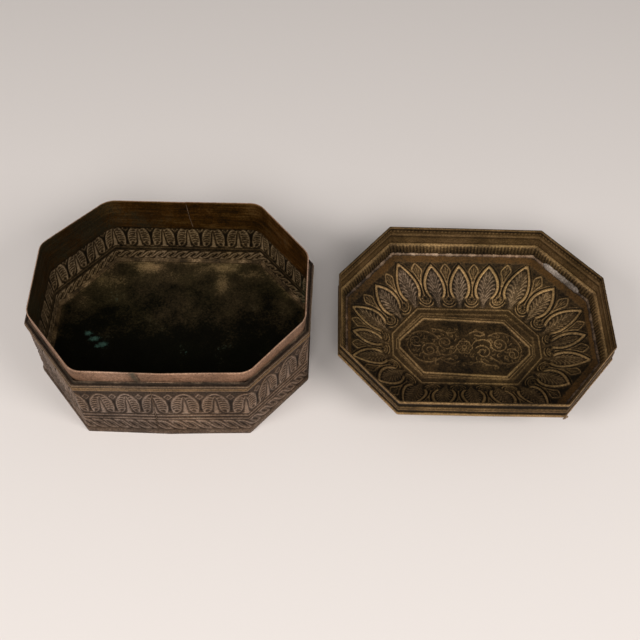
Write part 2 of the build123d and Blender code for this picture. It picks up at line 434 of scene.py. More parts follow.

# %% [markdown]
# One builder makes every hoop. A shell is a single grid that goes up the outside and down the
# inside, so it is closed and has the real thickness. Each stretch of rows brings its relief and
# its stain, kept on the mesh as attributes for the dirt and the wear, and in a few places for
# painted light, shade and sheen, and its finish. A strip that doesn't go all the way round gets
# a row of faces at each end, to show the sheet's edge.

# %% The hoop builder
def hoop(name, body, stretches, closed_round=True, closed_profile=True, shift=(0, 0, 0)):
    """A mesh from stretches of (rows, relief, finish, stain). Rows are in millimetres."""
    rows = settle(np.concatenate([s[0] for s in stretches]), body)
    relief = np.concatenate([np.broadcast_to(s[1], s[0].shape[:2]) for s in stretches])
    stains = [s[3] if len(s) > 3 else 0.0 for s in stretches]
    stain = np.concatenate([np.broadcast_to(v, s[0].shape[:2]) for v, s in zip(stains, stretches)])
    finish = np.concatenate([np.full(len(s[0]), number) for number, s in enumerate(stretches)])
    high, wide = rows.shape[:2]
    row, place = np.meshgrid(
        np.arange(high if closed_profile else high - 1),
        np.arange(wide if closed_round else wide - 1),
        indexing="ij",
    )
    row, place = row.ravel(), place.ravel()
    grid_places = np.stack([(row, place), (row, place + 1), (row + 1, place + 1), (row + 1, place)])
    grid_places = grid_places.transpose(2, 0, 1)
    faces = (grid_places[..., 0] % high) * wide + grid_places[..., 1] % wide
    face_finish = finish[row]
    if not closed_round:
        k = np.arange(high // 2 - 1)
        first = np.stack([k, k + 1, high - 2 - k, high - 1 - k], axis=1) * wide
        last = first[:, ::-1] + wide - 1
        faces = np.concatenate([faces, first, last])
        face_finish = np.concatenate([face_finish, np.zeros(2 * len(k), int)])
    mesh = bpy.data.meshes.new(name)
    mesh.from_pydata(((rows + shift) * MM).reshape(-1, 3), [], faces)
    fill_layer(mesh.attributes.new("relief", "FLOAT", "POINT").data, "value", relief)
    fill_layer(mesh.attributes.new("stain", "FLOAT", "POINT").data, "value", stain)
    flat_map(mesh, rows, grid_places)
    for stretch in stretches:
        mesh.materials.append(stretch[2])
    mesh.polygons.foreach_set("material_index", face_finish.astype(np.int32))
    if not closed_profile:
        zip_ends(mesh)
    mesh.shade_smooth()
    piece = bpy.data.objects.new(name, mesh)
    bpy.context.scene.collection.objects.link(piece)
    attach(piece, body)
    print(name, "has", len(mesh.polygons), "faces")
    return piece


# %% [markdown]
# Embossing is drawn as lines. A smooth line goes through a few points, and a ridge falls away
# on both sides of it like the mark of a rounded punch. The highest ridge wins at each point,
# so lines that cross stay crisp.

# %% Lines and ridges
def smooth_line(points, steps=5):
    """A smooth line through the given points."""
    p = np.array([points[0], *points, points[-1]], float)
    line = []
    for before, start, end, after in zip(p, p[1:], p[2:], p[3:]):
        for t in np.arange(steps) / steps:
            line.append(
                0.5 * (2 * start + (end - before) * t
                       + (2 * before - 5 * start + 4 * end - after) * t**2
                       + (3 * start - before - 3 * end + after) * t**3)
            )
    return np.array([*line, p[-1]])


def away_from(line, x, y):
    """How far each point (x, y) is from a line."""
    nearest = np.full(np.shape(x), np.inf)
    for (x0, y0), (x1, y1) in zip(line, line[1:]):
        dx, dy = x1 - x0, y1 - y0
        share = np.clip(((x - x0) * dx + (y - y0) * dy) / (dx * dx + dy * dy), 0, 1)
        nearest = np.minimum(nearest, np.hypot(x - x0 - share * dx, y - y0 - share * dy))
    return nearest


def ridge(distance, width):
    """A rounded ridge, 1 high where the distance is nought."""
    return np.exp(-((distance / width) ** 2))


def stroke(line, x, y, width):
    """A ridge along a line."""
    return ridge(away_from(line, x, y), width)


def blotch(x, y, middle_x, middle_y, half_x, half_y):
    """A soft oval patch."""
    return ridge(np.hypot((x - middle_x) / half_x, (y - middle_y) / half_y), 1.0)


def highest(*heights):
    """The highest of several heights at each point."""
    top = heights[0]
    for height in heights[1:]:
        top = np.maximum(top, height)
    return top


def step(value, soft):
    """0 below nought, 1 above it, with a soft edge."""
    return 1 / (1 + np.exp(-np.clip(value / soft, -30, 30)))


print("a ridge falls to", round(float(ridge(1.0, 1.0)), 2), "of its height at its width")

# %% [markdown]
# Old metal is never even, so nearly every number in its recipe is shaken by some noise. These
# helpers make noise, stretch it to the range that is wanted, and mix or multiply colours.

# %% Noise and colour
NOISE_RANGE = (0.3, 0.7)


def noise(tree, place, scale, detail=5.0, roughness=0.6):
    """Noise that changes from place to place, with a scale in waves to the metre."""
    made = add_node(tree, "ShaderNodeTexNoise")
    made.inputs["Scale"].default_value = scale
    made.inputs["Detail"].default_value = detail
    made.inputs["Roughness"].default_value = roughness
    tree.links.new(place, made.inputs["Vector"])
    return made.outputs["Fac"]


def spread(tree, value, low, high, to_low, to_high):
    """Stretches a value from one range to another, and holds it there."""
    made = add_node(tree, "ShaderNodeMapRange")
    for key, number in zip(("From Min", "From Max", "To Min", "To Max"), (low, high, to_low, to_high)):
        made.inputs[key].default_value = number
    tree.links.new(value, made.inputs["Value"])
    return made.outputs["Result"]


def shaken(tree, value, amount):
    """Noise as a number from minus to plus an amount."""
    return spread(tree, value, *NOISE_RANGE, -amount, amount)


def blend_colours(tree, share, first, second, kind="MIX"):
    """Mixes or multiplies two colours. Each of the three can be a socket or a plain value."""
    made = add_node(tree, "ShaderNodeMix", data_type="RGBA", blend_type=kind)
    sockets = {s.identifier: s for s in made.inputs}
    for key, value in (("Factor_Float", share), ("A_Color", first), ("B_Color", second)):
        if isinstance(value, (tuple, float)):
            sockets[key].default_value = value
        else:
            tree.links.new(value, sockets[key])
    return next(s for s in made.outputs if s.identifier == "Result_Color")


print("noise is stretched from the range", NOISE_RANGE)

# %% [markdown]
# Old brass is three colours at once: black-brown dirt in the hollows, a dull brown skin on the
# plain metal, and brighter metal where hands have worn the ridges. The relief attribute picks
# between them through a colour ramp, noise breaks the edges up, and a second noise shifts the
# skin towards red or olive. In a few places the relief also carries painted light and shade. The
# second attribute is the stain: above nought it covers the metal with a colour such as
# verdigris, and below nought it multiplies the colour by a pale colour, which paints sheen. The
# gloss varies too, since dirt is matt and worn metal isn't, and the skin reflects little.

# %% Old metal
GREEN = (0.10, 0.17, 0.13)
SPECKLE_SCALE, PIT_SCALE = 620, 1100
DRAWN_OUT = (0.06, 0.06, 1)
BUMP_STRENGTH, BUMP_DEPTH = 0.4, 0.15


def old_metal(name, dirt, skin, worn, tint, stain=GREEN, metallic=0.45, gloss=(0.75, 0.42),
              patch_scale=38.0, specular=0.2, smear=0.18, scratch=0.08, scratch_scale=1500,
              pale=(1, 1, 1)):
    """Brass with dirt in its hollows, a brown skin, wear on its ridges, stains and painted sheen."""
    material = bpy.data.materials.new(name)
    material.use_nodes = True
    tree = material.node_tree
    shader = tree.nodes["Principled BSDF"]
    place = add_node(tree, "ShaderNodeTexCoord").outputs["Object"]
    relief = add_node(tree, "ShaderNodeAttribute", attribute_name="relief").outputs["Fac"]
    stain_and_sheen = add_node(tree, "ShaderNodeAttribute", attribute_name="stain").outputs["Fac"]
    speckle = noise(tree, place, SPECKLE_SCALE, 4, 0.75)
    pits = noise(tree, place, PIT_SCALE, 2)
    patches = noise(tree, place, patch_scale, 7, 0.65)
    broad = noise(tree, place, patch_scale * 0.35, 3)
    flattened = add_node(tree, "ShaderNodeMapping")
    flattened.inputs["Scale"].default_value = DRAWN_OUT
    tree.links.new(place, flattened.inputs["Vector"])
    scratches = noise(tree, flattened.outputs["Vector"], scratch_scale, 3)

    uneven, smeared = shaken(tree, speckle, 0.34), shaken(tree, patches, smear)
    scratched = spread(tree, scratches, 0.35, 0.65, -scratch, scratch)
    level = arithmetic(tree, "ADD", relief, uneven, smeared, scratched)
    ramp = add_node(tree, "ShaderNodeValToRGB")
    stops = ramp.color_ramp.elements
    stops[0].position, stops[0].color = 0.12, (*dirt, 1)
    stops[1].position, stops[1].color = 0.92, (*worn, 1)
    stops.new(0.5).color = (*skin, 1)
    tree.links.new(spread(tree, level, -1, 1, 0, 1), ramp.inputs["Fac"])

    tinting = spread(tree, broad, 0.42, 0.62, 0, 0.75)
    tinted = blend_colours(tree, tinting, ramp.outputs["Color"], (*tint, 1), "MULTIPLY")
    shade = spread(tree, patches, *NOISE_RANGE, 0.66, 1.22)
    shaded = blend_colours(tree, 1.0, tinted, shade, "MULTIPLY")
    ragged = arithmetic(tree, "ADD", stain_and_sheen, shaken(tree, patches, 0.3), shaken(tree, speckle, 0.25))
    covered = spread(tree, ragged, 0.3, 0.75, 0, 0.85)
    # Below nought the stain paints sheen: the colour is multiplied by the pale colour.
    painted_sheen = spread(tree, stain_and_sheen, -1, 0, 1, 0)
    paled = blend_colours(tree, painted_sheen, shaded, (*pale, 1), "MULTIPLY")
    covered_skin = blend_colours(tree, covered, paled, (*stain, 1))
    grain = spread(tree, pits, 0.32, 0.68, 0.62, 1.38)
    grained = blend_colours(tree, 1.0, covered_skin, grain, "MULTIPLY")

    tree.links.new(grained, shader.inputs["Base Color"])
    tree.links.new(spread(tree, level, -0.8, 0.9, *gloss), shader.inputs["Roughness"])
    shader.inputs["Metallic"].default_value = metallic
    shader.inputs["Specular IOR Level"].default_value = specular
    bump = add_node(tree, "ShaderNodeBump")
    bump.inputs["Strength"].default_value = BUMP_STRENGTH
    bump.inputs["Distance"].default_value = BUMP_DEPTH * MM
    tree.links.new(arithmetic(tree, "ADD", speckle, patches), bump.inputs["Height"])
    tree.links.new(bump.outputs["Normal"], shader.inputs["Normal"])
    return material


print("pits are about", round(1 / PIT_SCALE / MM, 1), "mm apart")

# %% [markdown]
# The recipe is the same for every piece, and the colours are not. Each finish gives the dirt,
# the skin, the worn metal and the tint of its broad patches. The wall is browner outside and
# nearly black inside, the collar is red, the mouldings and the lid are olive gold, and the
# solder is the palest.

# %% Finishes
WALL_OUTSIDE = old_metal(
    "wall_outside", (0.018, 0.011, 0.007), (0.068, 0.043, 0.028), (0.22, 0.155, 0.115), (1.0, 0.88, 0.72),
)
WALL_INSIDE = old_metal(
    "wall_inside", (0.008, 0.005, 0.002), (0.070, 0.043, 0.020), (0.28, 0.19, 0.11), (0.95, 0.92, 0.75),
    stain=(0.035, 0.055, 0.03), specular=0.08,
)
COLLAR_OUTSIDE = old_metal(
    "collar_outside", (0.04, 0.024, 0.015), (0.20, 0.112, 0.069), (0.34, 0.21, 0.14), (1.0, 0.90, 0.80),
    stain=(0.05, 0.046, 0.03),
)
COLLAR_INSIDE = old_metal(
    "collar_inside", (0.008, 0.0045, 0.0015), (0.046, 0.0165, 0.002), (0.13, 0.062, 0.02),
    (0.7, 0.78, 0.6), stain=(0.012, 0.012, 0.007), metallic=0.35, specular=0.05, patch_scale=52.0,
    smear=0.42, scratch=0.32, scratch_scale=620,
)
BEAD_GOLD = old_metal(
    "bead_gold", (0.028, 0.016, 0.008), (0.085, 0.050, 0.025), (0.19, 0.115, 0.058), (0.95, 0.88, 0.75),
)
BEAD_DARK = old_metal(
    "bead_dark", (0.022, 0.014, 0.008), (0.095, 0.060, 0.036), (0.17, 0.115, 0.072), (0.95, 0.92, 0.85),
)
# The floor's colours are very dark: its real dirt, and painted shade of the deep inside of the box as well.
FLOOR_PLATE = old_metal(
    "floor_plate", (0.004, 0.0035, 0.0018), (0.036, 0.024, 0.011), (0.20, 0.125, 0.060),
    (0.85, 0.95, 0.8), stain=(0.05, 0.10, 0.075), patch_scale=45.0, metallic=0.1, specular=0.02, smear=0.3,
)
# Its pale colour is bluish: it paints sheen on the insides of the leaves.
LID_BRASS = old_metal(
    "lid_brass", (0.007, 0.004, 0.0012), (0.064, 0.036, 0.013), (0.25, 0.15, 0.062), (0.85, 0.88, 0.78),
    stain=(0.075, 0.034, 0.008), specular=0.12, smear=0.26, pale=(0.88, 1.0, 1.6),
)
LID_SKIRT_BRASS = old_metal(
    "lid_skirt_brass", (0.012, 0.007, 0.003), (0.10, 0.056, 0.021), (0.28, 0.17, 0.078),
    (0.9, 0.92, 0.8), specular=0.12,
)
SOLDER = old_metal(
    "old_solder", (0.03, 0.020, 0.013), (0.15, 0.096, 0.058), (0.38, 0.27, 0.18), (1.0, 0.88, 0.78),
    metallic=0.3,
)
CRUST = old_metal(
    "repair_crust", (0.03, 0.022, 0.016), (0.12, 0.092, 0.070), (0.34, 0.28, 0.24), (0.95, 0.95, 0.9),
    metallic=0.2, smear=0.4,
)
print(len(bpy.data.materials), "materials")

# %% [markdown]
# The wall is one strip of brass, embossed flat and then bent round the base, with its ends
# soldered at the front. A row of arched leaves stands on a double line over a twisted cable.
# Whoever punched it began wide and ran short of room, so the leaves crowd up as they come
# round to the seam again. Each point's place in its own leaf comes from counting leaves along
# the strip, and one leaf is drawn for all of them.

# %% The wall's leaves and cable
SHEET = 0.9
WALL_SET_BACK = 1.9
WALL_SPREAD = 0.8
FOOT_BEAD_HEIGHT = 4.2
FOOT_BEAD_SHOULDER = 3.6
FOOT_BEAD_PROUD = 1.0
BEADS_FOOT = size_in_mm("shoulder_lower_bead")[0][2]
SEAM_X = -7.0
LEAF_COUNT = 31
FIRST_PITCH, LAST_PITCH = 20.6, 16.7
LEAF_WIDTH = 19.0
LEAF_FOOT = 23.8
LEAF_HEIGHT = 24.0
LINES_AT = (17.8, 21.6)
CABLES_PER_LEAF = 2.25
CABLE_PITCH = LEAF_WIDTH / CABLES_PER_LEAF
CABLE_FOOT = 4.6
CABLE_HEIGHT = 11.6
EMBOSS = 0.62


def wall_set_back(z):
    """The wall spreads a little towards its foot."""
    return WALL_SET_BACK - WALL_SPREAD * (1 - z / WALL_HEIGHT)


def leaf_number(along, length):
    """How many leaves there are from the seam to each place along the strip."""
    pitch = FIRST_PITCH + (LAST_PITCH - FIRST_PITCH) * along / length
    return LEAF_COUNT * np.log(pitch / FIRST_PITCH) / math.log(LAST_PITCH / FIRST_PITCH)


print(LEAF_COUNT, "leaves stand over", round(LEAF_COUNT * CABLES_PER_LEAF), "strands of cable")

# %% [markdown]
# A leaf is an arch with a stem up the middle, and a row of combed veins on each side. Both
# halves are alike, so it is drawn for one side, and x is how far a point is from the stem. A
# small diamond sits in the gap between two arches, and a hook curls below it.

# %% One leaf of the wall
ARCH = smooth_line([(0, 23.2), (2.2, 22.4), (4.9, 19.8), (7.1, 15.4), (8.2, 10.2), (8.1, 5.6), (7.0, 1.8)])
INNER_ARCH = smooth_line([
    (0.5, 20.0), (1.5, 16.6), (2.1, 12.0), (2.5, 7.6), (3.3, 4.2), (4.8, 2.2), (6.2, 1.2),
])
HOOK = smooth_line([(2.6, 4.4), (2.0, 1.8), (0, 0.9)])
STEM_TOP = 17.5
TOP_VEIN = 18.9
VEIN_PITCH = 2.65
VEINS = 6
DIAMOND_AT = 20.2


def draw_leaf(x, y):
    """One arched leaf of two combed feathers on a stem, about x = 0."""
    x = np.abs(x)
    height = highest(stroke(ARCH, x, y, 0.66), 0.8 * stroke(INNER_ARCH, x, y, 0.45))
    for number in range(VEINS):
        root = TOP_VEIN - VEIN_PITCH * number
        inner = np.interp(root, INNER_ARCH[::-1, 1], INNER_ARCH[::-1, 0])
        outer = np.interp(root - 0.8, ARCH[::-1, 1], ARCH[::-1, 0])
        middle = (inner + outer) / 2
        vein = smooth_line([(inner + 0.2, root - 0.5), (middle, root + 0.4), (outer - 0.4, root - 0.8)], 3)
        height = highest(height, 0.95 * stroke(vein, x, y, 0.62))
    half_stem = np.interp(y, [0, 1.0, 1.6, STEM_TOP], [2.9, 2.7, 1.5, 0.2])
    side = LEAF_WIDTH / 2 - x
    diamond = np.abs(side / 2.3 + np.abs(y - DIAMOND_AT) / 2.7 - 1)
    height = highest(
        height,
        0.9 * step(half_stem - x, 0.15) * step(STEM_TOP - y, 0.5) * step(y - 0.2, 0.2),
        0.85 * ridge(diamond * 2.0, 0.5),
        0.8 * ridge(np.hypot(side, y - DIAMOND_AT), 0.5),
        0.8 * stroke(HOOK, side, y, 0.55),
    )
    return height - 0.7 * stroke([(0, 5.0), (0, 14)], side, y, 1.2)


print("an arch is drawn with", len(ARCH), "points, and each half has", VEINS, "veins")

# %% [markdown]
# The cable below is slanting strands, each with an eye inside. It has strands of its own
# number, so it doesn't line up with the leaves. Between the two runs a double line, and the
# ground between the marks lies a little lower.

# %% The cable, and the whole relief
ROPE = smooth_line([(-8.6, 10.6), (-5.2, 10.3), (-2.2, 8.6), (0, 5.7), (2.2, 2.9), (5.2, 1.1), (8.6, 0.8)])
EYE = smooth_line([(0.4, 9.6), (3.6, 8.6), (6.2, 5.4), (8.0, 2.0), (4.8, 2.9), (2.3, 5.8), (0.4, 9.6)], 4)


def draw_cable(x, y):
    """A twisted cable of slanting strands, each with an eye inside."""
    height = np.zeros_like(x)
    for number in (-1, 0, 1):
        shifted = x - number * CABLE_PITCH
        height = highest(height, stroke(ROPE, shifted, y, 0.85), 0.85 * stroke(EYE, shifted, y, 0.5))
    return height


def wall_relief(along, length, z):
    """Height of the embossing, from about -1 to 1."""
    leaves = leaf_number(along, length) + 0 * z
    in_leaf = (leaves - np.round(leaves)) * LEAF_WIDTH
    strands = CABLES_PER_LEAF * leaves
    in_cable = (strands - np.round(strands)) * CABLE_PITCH
    y = z - LEAF_FOOT
    leaf = draw_leaf(in_leaf, y) * step(y + 0.2, 0.15) * step(LEAF_HEIGHT - y, 0.2)
    cable = draw_cable(in_cable, z - CABLE_FOOT)
    cable *= step(z - CABLE_FOOT - 0.2, 0.15) * step(CABLE_FOOT + CABLE_HEIGHT - z, 0.15)
    lines = highest(*[ridge(z - height, 0.6) for height in LINES_AT])
    seam = ridge((along + length / 2) % length - length / 2, 0.5)
    ground = -0.6 * step(z - FOOT_BEAD_HEIGHT, 0.2)
    return highest(leaf, cable, 0.95 * lines, ground) + 0.6 * np.minimum(leaf, 0) - 0.7 * seam


print("the relief runs from height", CABLE_FOOT, "to", LEAF_FOOT + LEAF_HEIGHT, "mm")

# %% [markdown]
# The inside shows the back of the same punch marks, but they sit lower there and are much
# shallower, so the inside reads its heights from a table of its own. That also keeps the two
# faces of the sheet from meeting.

# %% Build the wall
WALL_SPACING = 0.55
INSIDE_EMBOSS = 0.42
GREEN_PATCH = (92, 28, 22, 22)
INNER_LEVELS = (3.2, 12.0, 12.8, 15.3, 17.2, 41.0, 57.0)
OUTER_LEVELS = (4.6, 16.2, 17.8, 21.6, 23.8, 47.8, 57.0)
wall_stations = Stations(0.6)


def foot_proud(z):
    """How far the plain foot bead stands out at each height."""
    return FOOT_BEAD_PROUD * np.clip((FOOT_BEAD_HEIGHT - z) / (FOOT_BEAD_HEIGHT - FOOT_BEAD_SHOULDER), 0, 1)


def build_wall():
    heights = np.concatenate([
        [0, 0.25, 1.2, 2.4, FOOT_BEAD_SHOULDER],
        np.arange(FOOT_BEAD_HEIGHT, BEADS_FOOT, WALL_SPACING),
        [BEADS_FOOT + 1.5, WALL_HEIGHT],
    ])
    outside = lay_profile(wall_stations, [(wall_set_back(z) - foot_proud(z), z) for z in heights])
    inner_heights = np.unique([0, *heights[4::2], WALL_HEIGHT])[::-1]
    inside = lay_profile(wall_stations, [(wall_set_back(z) + SHEET, z) for z in inner_heights])
    along, length = distance_round(outside[len(outside) // 2])
    along = (along - (SEAM_X - outside[len(outside) // 2][0, 0])) % length
    dents = 0.2 * wander(along / length)
    z = heights[:, None]
    height = wall_relief(along[None, :], length, z)
    leaning = step(z - FOOT_BEAD_HEIGHT, 0.3) * step(BEADS_FOOT - 0.6 - z, 0.1)
    outside += normals(outside) * ((EMBOSS * height + dents - 0.3) * leaning)[..., None]
    z_in = inner_heights[:, None]
    height_in = wall_relief(along[None, :], length, np.interp(z_in, INNER_LEVELS, OUTER_LEVELS))
    moving = step(z_in - 3.4, 0.3) * step(BEADS_FOOT - 0.6 - z_in, 0.1)
    inside -= normals(inside) * ((INSIDE_EMBOSS * height_in + dents - 0.3) * moving)[..., None]
    plain = step(FOOT_BEAD_HEIGHT - z, 0.2)
    worn = np.clip(1.4 * height - 0.4 - 0.2 * step(15 - z, 0.5), -1, 1) * (1 - plain) + 0.15 * plain
    greened = 0.45 * blotch(inside[..., 0], inside[..., 1], *GREEN_PATCH) * step(34 - z_in, 4)
    return hoop("wall_strip", "box", [
        (outside, worn, WALL_OUTSIDE),
        (inside, np.clip(1.7 * height_in - 0.75, -1, 1), WALL_INSIDE, greened),
    ])


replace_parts(build_wall(), "box_wall")

# %% [markdown]
# Two mouldings clasp the top of the wall and carry the lid. They are drawn wire, bent by hand,
# so they wander a little. The upper one is a thin grey-brown roll. The lower one is worn gold,
# with a fine groove that parts a narrow bead from a broad one. Each is a ring whose section
# closes on itself.

# %% Shoulder mouldings
BEAD_INSIDE = 2.0
bead_stations = Stations(1.2)


def rounded(outer, inner, low, high, steps=7):
    """A half-round section from an inner set-back out to an outer one."""
    turn = np.radians(np.linspace(-90, 90, steps))
    middle, half = (low + high) / 2, (high - low) / 2
    return [(inner - (inner - outer) * math.cos(a) ** 0.6, middle + half * math.sin(a)) for a in turn]


def moulding(name, node, profile, material):
    profile = np.array(profile)
    rows = lay_profile(bead_stations, profile)
    along, length = distance_round(rows[0])
    share = along / length
    low, high = profile[:, 1].min(), profile[:, 1].max()
    rows[..., 2] = np.clip(rows[..., 2] + 0.12 * wander(share), low - 0.1, high)
    standing = (BEAD_INSIDE - profile[:, 0]) / (BEAD_INSIDE - profile[:, 0].min())
    relief = 2.2 * standing[:, None] - 1.5 + 0.25 * wander(share, (17, 29, 41))
    piece = hoop(name, "box", [(rows, np.clip(relief, -1, 1), material)])
    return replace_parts(piece, node)


upper_low, upper_high = size_in_mm("shoulder_upper_bead")
lower_low, lower_high = size_in_mm("shoulder_lower_bead")
groove_at = lower_high[2] - 1.35
upper_section = rounded(1.2, BEAD_INSIDE, upper_low[2], upper_high[2])
moulding("upper_moulding", "shoulder_upper_bead", upper_section, BEAD_DARK)
moulding("lower_moulding", "shoulder_lower_bead", [
    *rounded(0.7, BEAD_INSIDE, lower_low[2], groove_at)[:-1],
    (1.35, groove_at),
    *rounded(0.75, 1.5, groove_at, lower_high[2] - 0.05, 5)[1:],
    (BEAD_INSIDE, lower_high[2]),
], BEAD_GOLD)

# %% [markdown]
# The collar stands up inside the lid. It is two plain strips, lapped at the front and the back
# where they meet on a slant, and its rim is no longer level. Each strip is laid along a dense
# ring by distance, so that its ends can lean.

# %% Collar strips
COLLAR_SET_BACK = 4.6
COLLAR_RADIUS = 14.0
FRONT_JOINT_X, BACK_JOINT_X = -12.0, 4.0
JOINT_LEAN = math.radians(-10)
collar_low, collar_high = size_in_mm("collar_right")
COLLAR_FOOT, COLLAR_TOP = collar_low[2], collar_high[2]
RIM_PLACES = np.radians([-126, -90, -54, -17, 17, 54, 90, 126, 162, 198])
RIM_HEIGHTS = (68.6, 67.3, 69.3, 69.8, 69.3, 68.8, 68.7, 69.1, 69.3, 69.3)


def joint_x(middle, z):
    """Where a slanting joint is at height z."""
    return middle + (z - (COLLAR_FOOT + COLLAR_TOP) / 2) * math.tan(JOINT_LEAN)


def collar_wall(depth, heights, first, last, count):
    """Rows of a strip whose face is so deep in the collar, from one joint to the other."""
    dense = Stations(0.8, bend_steps=24)
    rows = []
    for z in heights:
        ring = dense.ring(BOX - COLLAR_SET_BACK - depth, z, COLLAR_RADIUS - depth)
        along, length = distance_round(ring)
        along = np.concatenate([along, along + length])
        back_start = np.argmax(dense.side == BACK)
        joints = {
            "front": joint_x(FRONT_JOINT_X, z) - ring[0, 0],
            "back": along[back_start] + ring[back_start, 0] - joint_x(BACK_JOINT_X, z),
        }
        start, end = joints[first], joints[last]
        end += length if end < start else 0
        places = np.linspace(start, end, count)
        doubled = np.concatenate([ring, ring])
        rows.append(np.column_stack([np.interp(places, along, part) for part in doubled.T]))
    return np.array(rows)


print("the collar is", round(COLLAR_TOP - COLLAR_FOOT, 1), "mm high and stands", COLLAR_SET_BACK, "mm back")

# %% [markdown]
# Each strip has an outer and an inner face. Below the mouth of the wall the solder holds it
# fast, and above that it is free, so only there does it bow and does its rim rise and fall.
# Outside it is rubbed red, with a dark patch at the lap, and inside it has gone black except
# for two places that were scraped.

# %% Build the collar
def build_collar(name, node, first, last, count=420):
    """A strip of the collar, from one joint round to the other."""
    rim_rows = [COLLAR_TOP - 0.9, COLLAR_TOP - 0.25, COLLAR_TOP]
    heights = np.concatenate([np.arange(COLLAR_FOOT, COLLAR_TOP - 1, 1.5), rim_rows])
    faces = [collar_wall(depth, heights, first, last, count) for depth in (0.0, SHEET)]
    faces[1] = faces[1][::-1]
    share = np.linspace(0, 0.5, count) + (0.5 if first == "back" else 0)
    bow = 0.18 * wander(share)
    waves = 0.12 * np.clip(wander(share, (7, 12, 19, 31)), -1, 0)
    for rows in faces:
        free = np.clip((rows[..., 2:] - WALL_HEIGHT) / (COLLAR_TOP - WALL_HEIGHT), 0, 1)
        flat = rows * [1, 1, 0]
        outward = flat / np.linalg.norm(flat, axis=2, keepdims=True)
        rim = np.interp(np.arctan2(rows[..., 1], rows[..., 0]), RIM_PLACES, RIM_HEIGHTS, period=2 * np.pi)
        rows += outward * free * bow[None, :, None]
        rows[..., 2:] += free**2 * (rim - COLLAR_TOP + waves)[..., None]
    outside, inside = faces
    outside[-1] = 0.75 * outside[-1] + 0.25 * inside[0]
    inside[0] = 0.75 * inside[0] + 0.25 * outside[-1]
    edge = step(heights - COLLAR_TOP + 0.9, 0.25)[:, None]
    foot = step(WALL_HEIGHT + 1.2 - heights, 0.5)[:, None]
    from_joint = outside[..., 0] - joint_x(FRONT_JOINT_X, outside[..., 2])
    front = outside[..., 1] < 0
    dark_patch = np.where(front & (from_joint < 0), ridge(from_joint + 2.5, 3.2), 0)
    lap = np.where(front, ridge(from_joint, 0.35), 0)
    x, y, z = inside[..., 0], inside[..., 1], inside[..., 2]
    blackened = 0.25 + 0.4 * step(-x - 52, 5) + 0.3 * ridge(x + 30, 14) * step(60 - z, 4)
    rubbed_and_highlight = 0.55 * step(y, 5) * (blotch(x, z, 50, 62, 6, 7.5) + blotch(x, z, -57, 63, 7, 7))
    piece = hoop(name, "box", [
        (outside, 0.15 + 0.6 * edge - 0.7 * foot - 0.9 * lap, COLLAR_OUTSIDE, 0.9 * dark_patch),
        (inside, 0.8 * edge[::-1] + rubbed_and_highlight, COLLAR_INSIDE, blackened),
    ], closed_round=False)
    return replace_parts(piece, node)


build_collar("collar_strip_right", "collar_right", "front", "back")
build_collar("collar_strip_left", "collar_left", "back", "front")

# %% [markdown]
# Solder was fed along the joints by hand, so it lies in lumps. A run of it along a path is a
# row of flattened rings whose size swells and shrinks, and which closes to a point at both
# ends. A run that goes all the way round the box is a hoop with a lumpy section.

# %% Runs of solder
def solder_run(name, body, path, across, upward, shift=(0, 0, 0), material=SOLDER):
    """A lumpy run along a path. across and upward are half its width and half its height."""
    turn = np.linspace(0, 2 * np.pi, 12, endpoint=False)[:, None]
    share = np.linspace(0, 1, len(path))
    taper = np.clip(np.minimum(share, 1 - share) * 12, 0, 1) ** 0.5
    swell = 1 + 0.35 * wander(share, (5, 9, 14, 22))
    ring = np.cos(turn) * np.asarray(across) + np.sin(turn) * np.asarray(upward)
    rows = np.asarray(path)[:, None, :] + (taper * swell)[:, None, None] * ring
    relief = 0.5 * wander(share, (9, 17, 26))[:, None] + 0.3 * np.sin(turn[:, 0])
    piece = hoop(name, body, [(rows, relief, material)], closed_profile=False, shift=shift)
    return piece


def lumpy_hoop(name, node, body, stations, profile, moving, relief_shift, material, shift=(0, 0, 0),
               waves=(19, 31, 43, 67), back_bright=0.0):
    """A ring of solder. Each row's set-back and height grow with the lumps by its share of moving."""
    rows = lay_profile(stations, profile)
    along, length = distance_round(rows[0])
    evened = math.sqrt(len(waves) * np.mean(waves)) / 2
    lumps = np.clip(wander(along / length, waves) * evened, -1.2, 1.2)
    outward = normals(rows)
    rows = rows + outward * (np.array(moving)[:, None] * lumps[None, :])[..., None]
    bright = back_bright * step(rows[..., 1] - 56, 2)
    relief = np.clip(0.25 * lumps[None, :] + np.array(relief_shift)[:, None] + bright, -1, 1)
    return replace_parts(hoop(name, body, [(rows, relief, material)], shift=shift), node)


print("two ways to lay solder")

# %% [markdown]
# The box has five places with solder to see: the two slanting joints of the collar, the upright
# seam of the wall, the filled corner all round the collar's foot, and a short bright mend on
# it, in front.

# %% Solder of the box
def joint_path(middle, face_y, count=36):
    """A slanting line up a joint of the collar."""
    heights = np.linspace(COLLAR_FOOT + 0.5, COLLAR_TOP - 2.6, count)
    return np.column_stack([joint_x(middle, heights), np.full(count, face_y), heights])


collar_face = OUTLINE_WIDTH / 2 - COLLAR_SET_BACK
front_path = joint_path(FRONT_JOINT_X, -collar_face + SHEET / 2)
front_run = solder_run("collar_front_lap_solder", "box", front_path, (0.35, 0, 0), (0, 0.6, 0))
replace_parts(front_run, "collar_joint_solder")
back_path = joint_path(BACK_JOINT_X, collar_face - SHEET / 2)
solder_run("collar_back_lap_solder", "box", back_path, (0.42, 0, 0), (0, 0.65, 0))

seam_heights = np.linspace(0.3, BEADS_FOOT, 60)
seam_face = np.array([-OUTLINE_WIDTH / 2 + wall_set_back(z) for z in seam_heights])
seam_path = np.column_stack([np.full_like(seam_face, SEAM_X), seam_face + 0.35, seam_heights])
seam_run = solder_run("wall_seam_run", "box", seam_path, (0.3, 0, 0), (0, 0.5, 0))
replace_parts(seam_run, "wall_seam_solder")

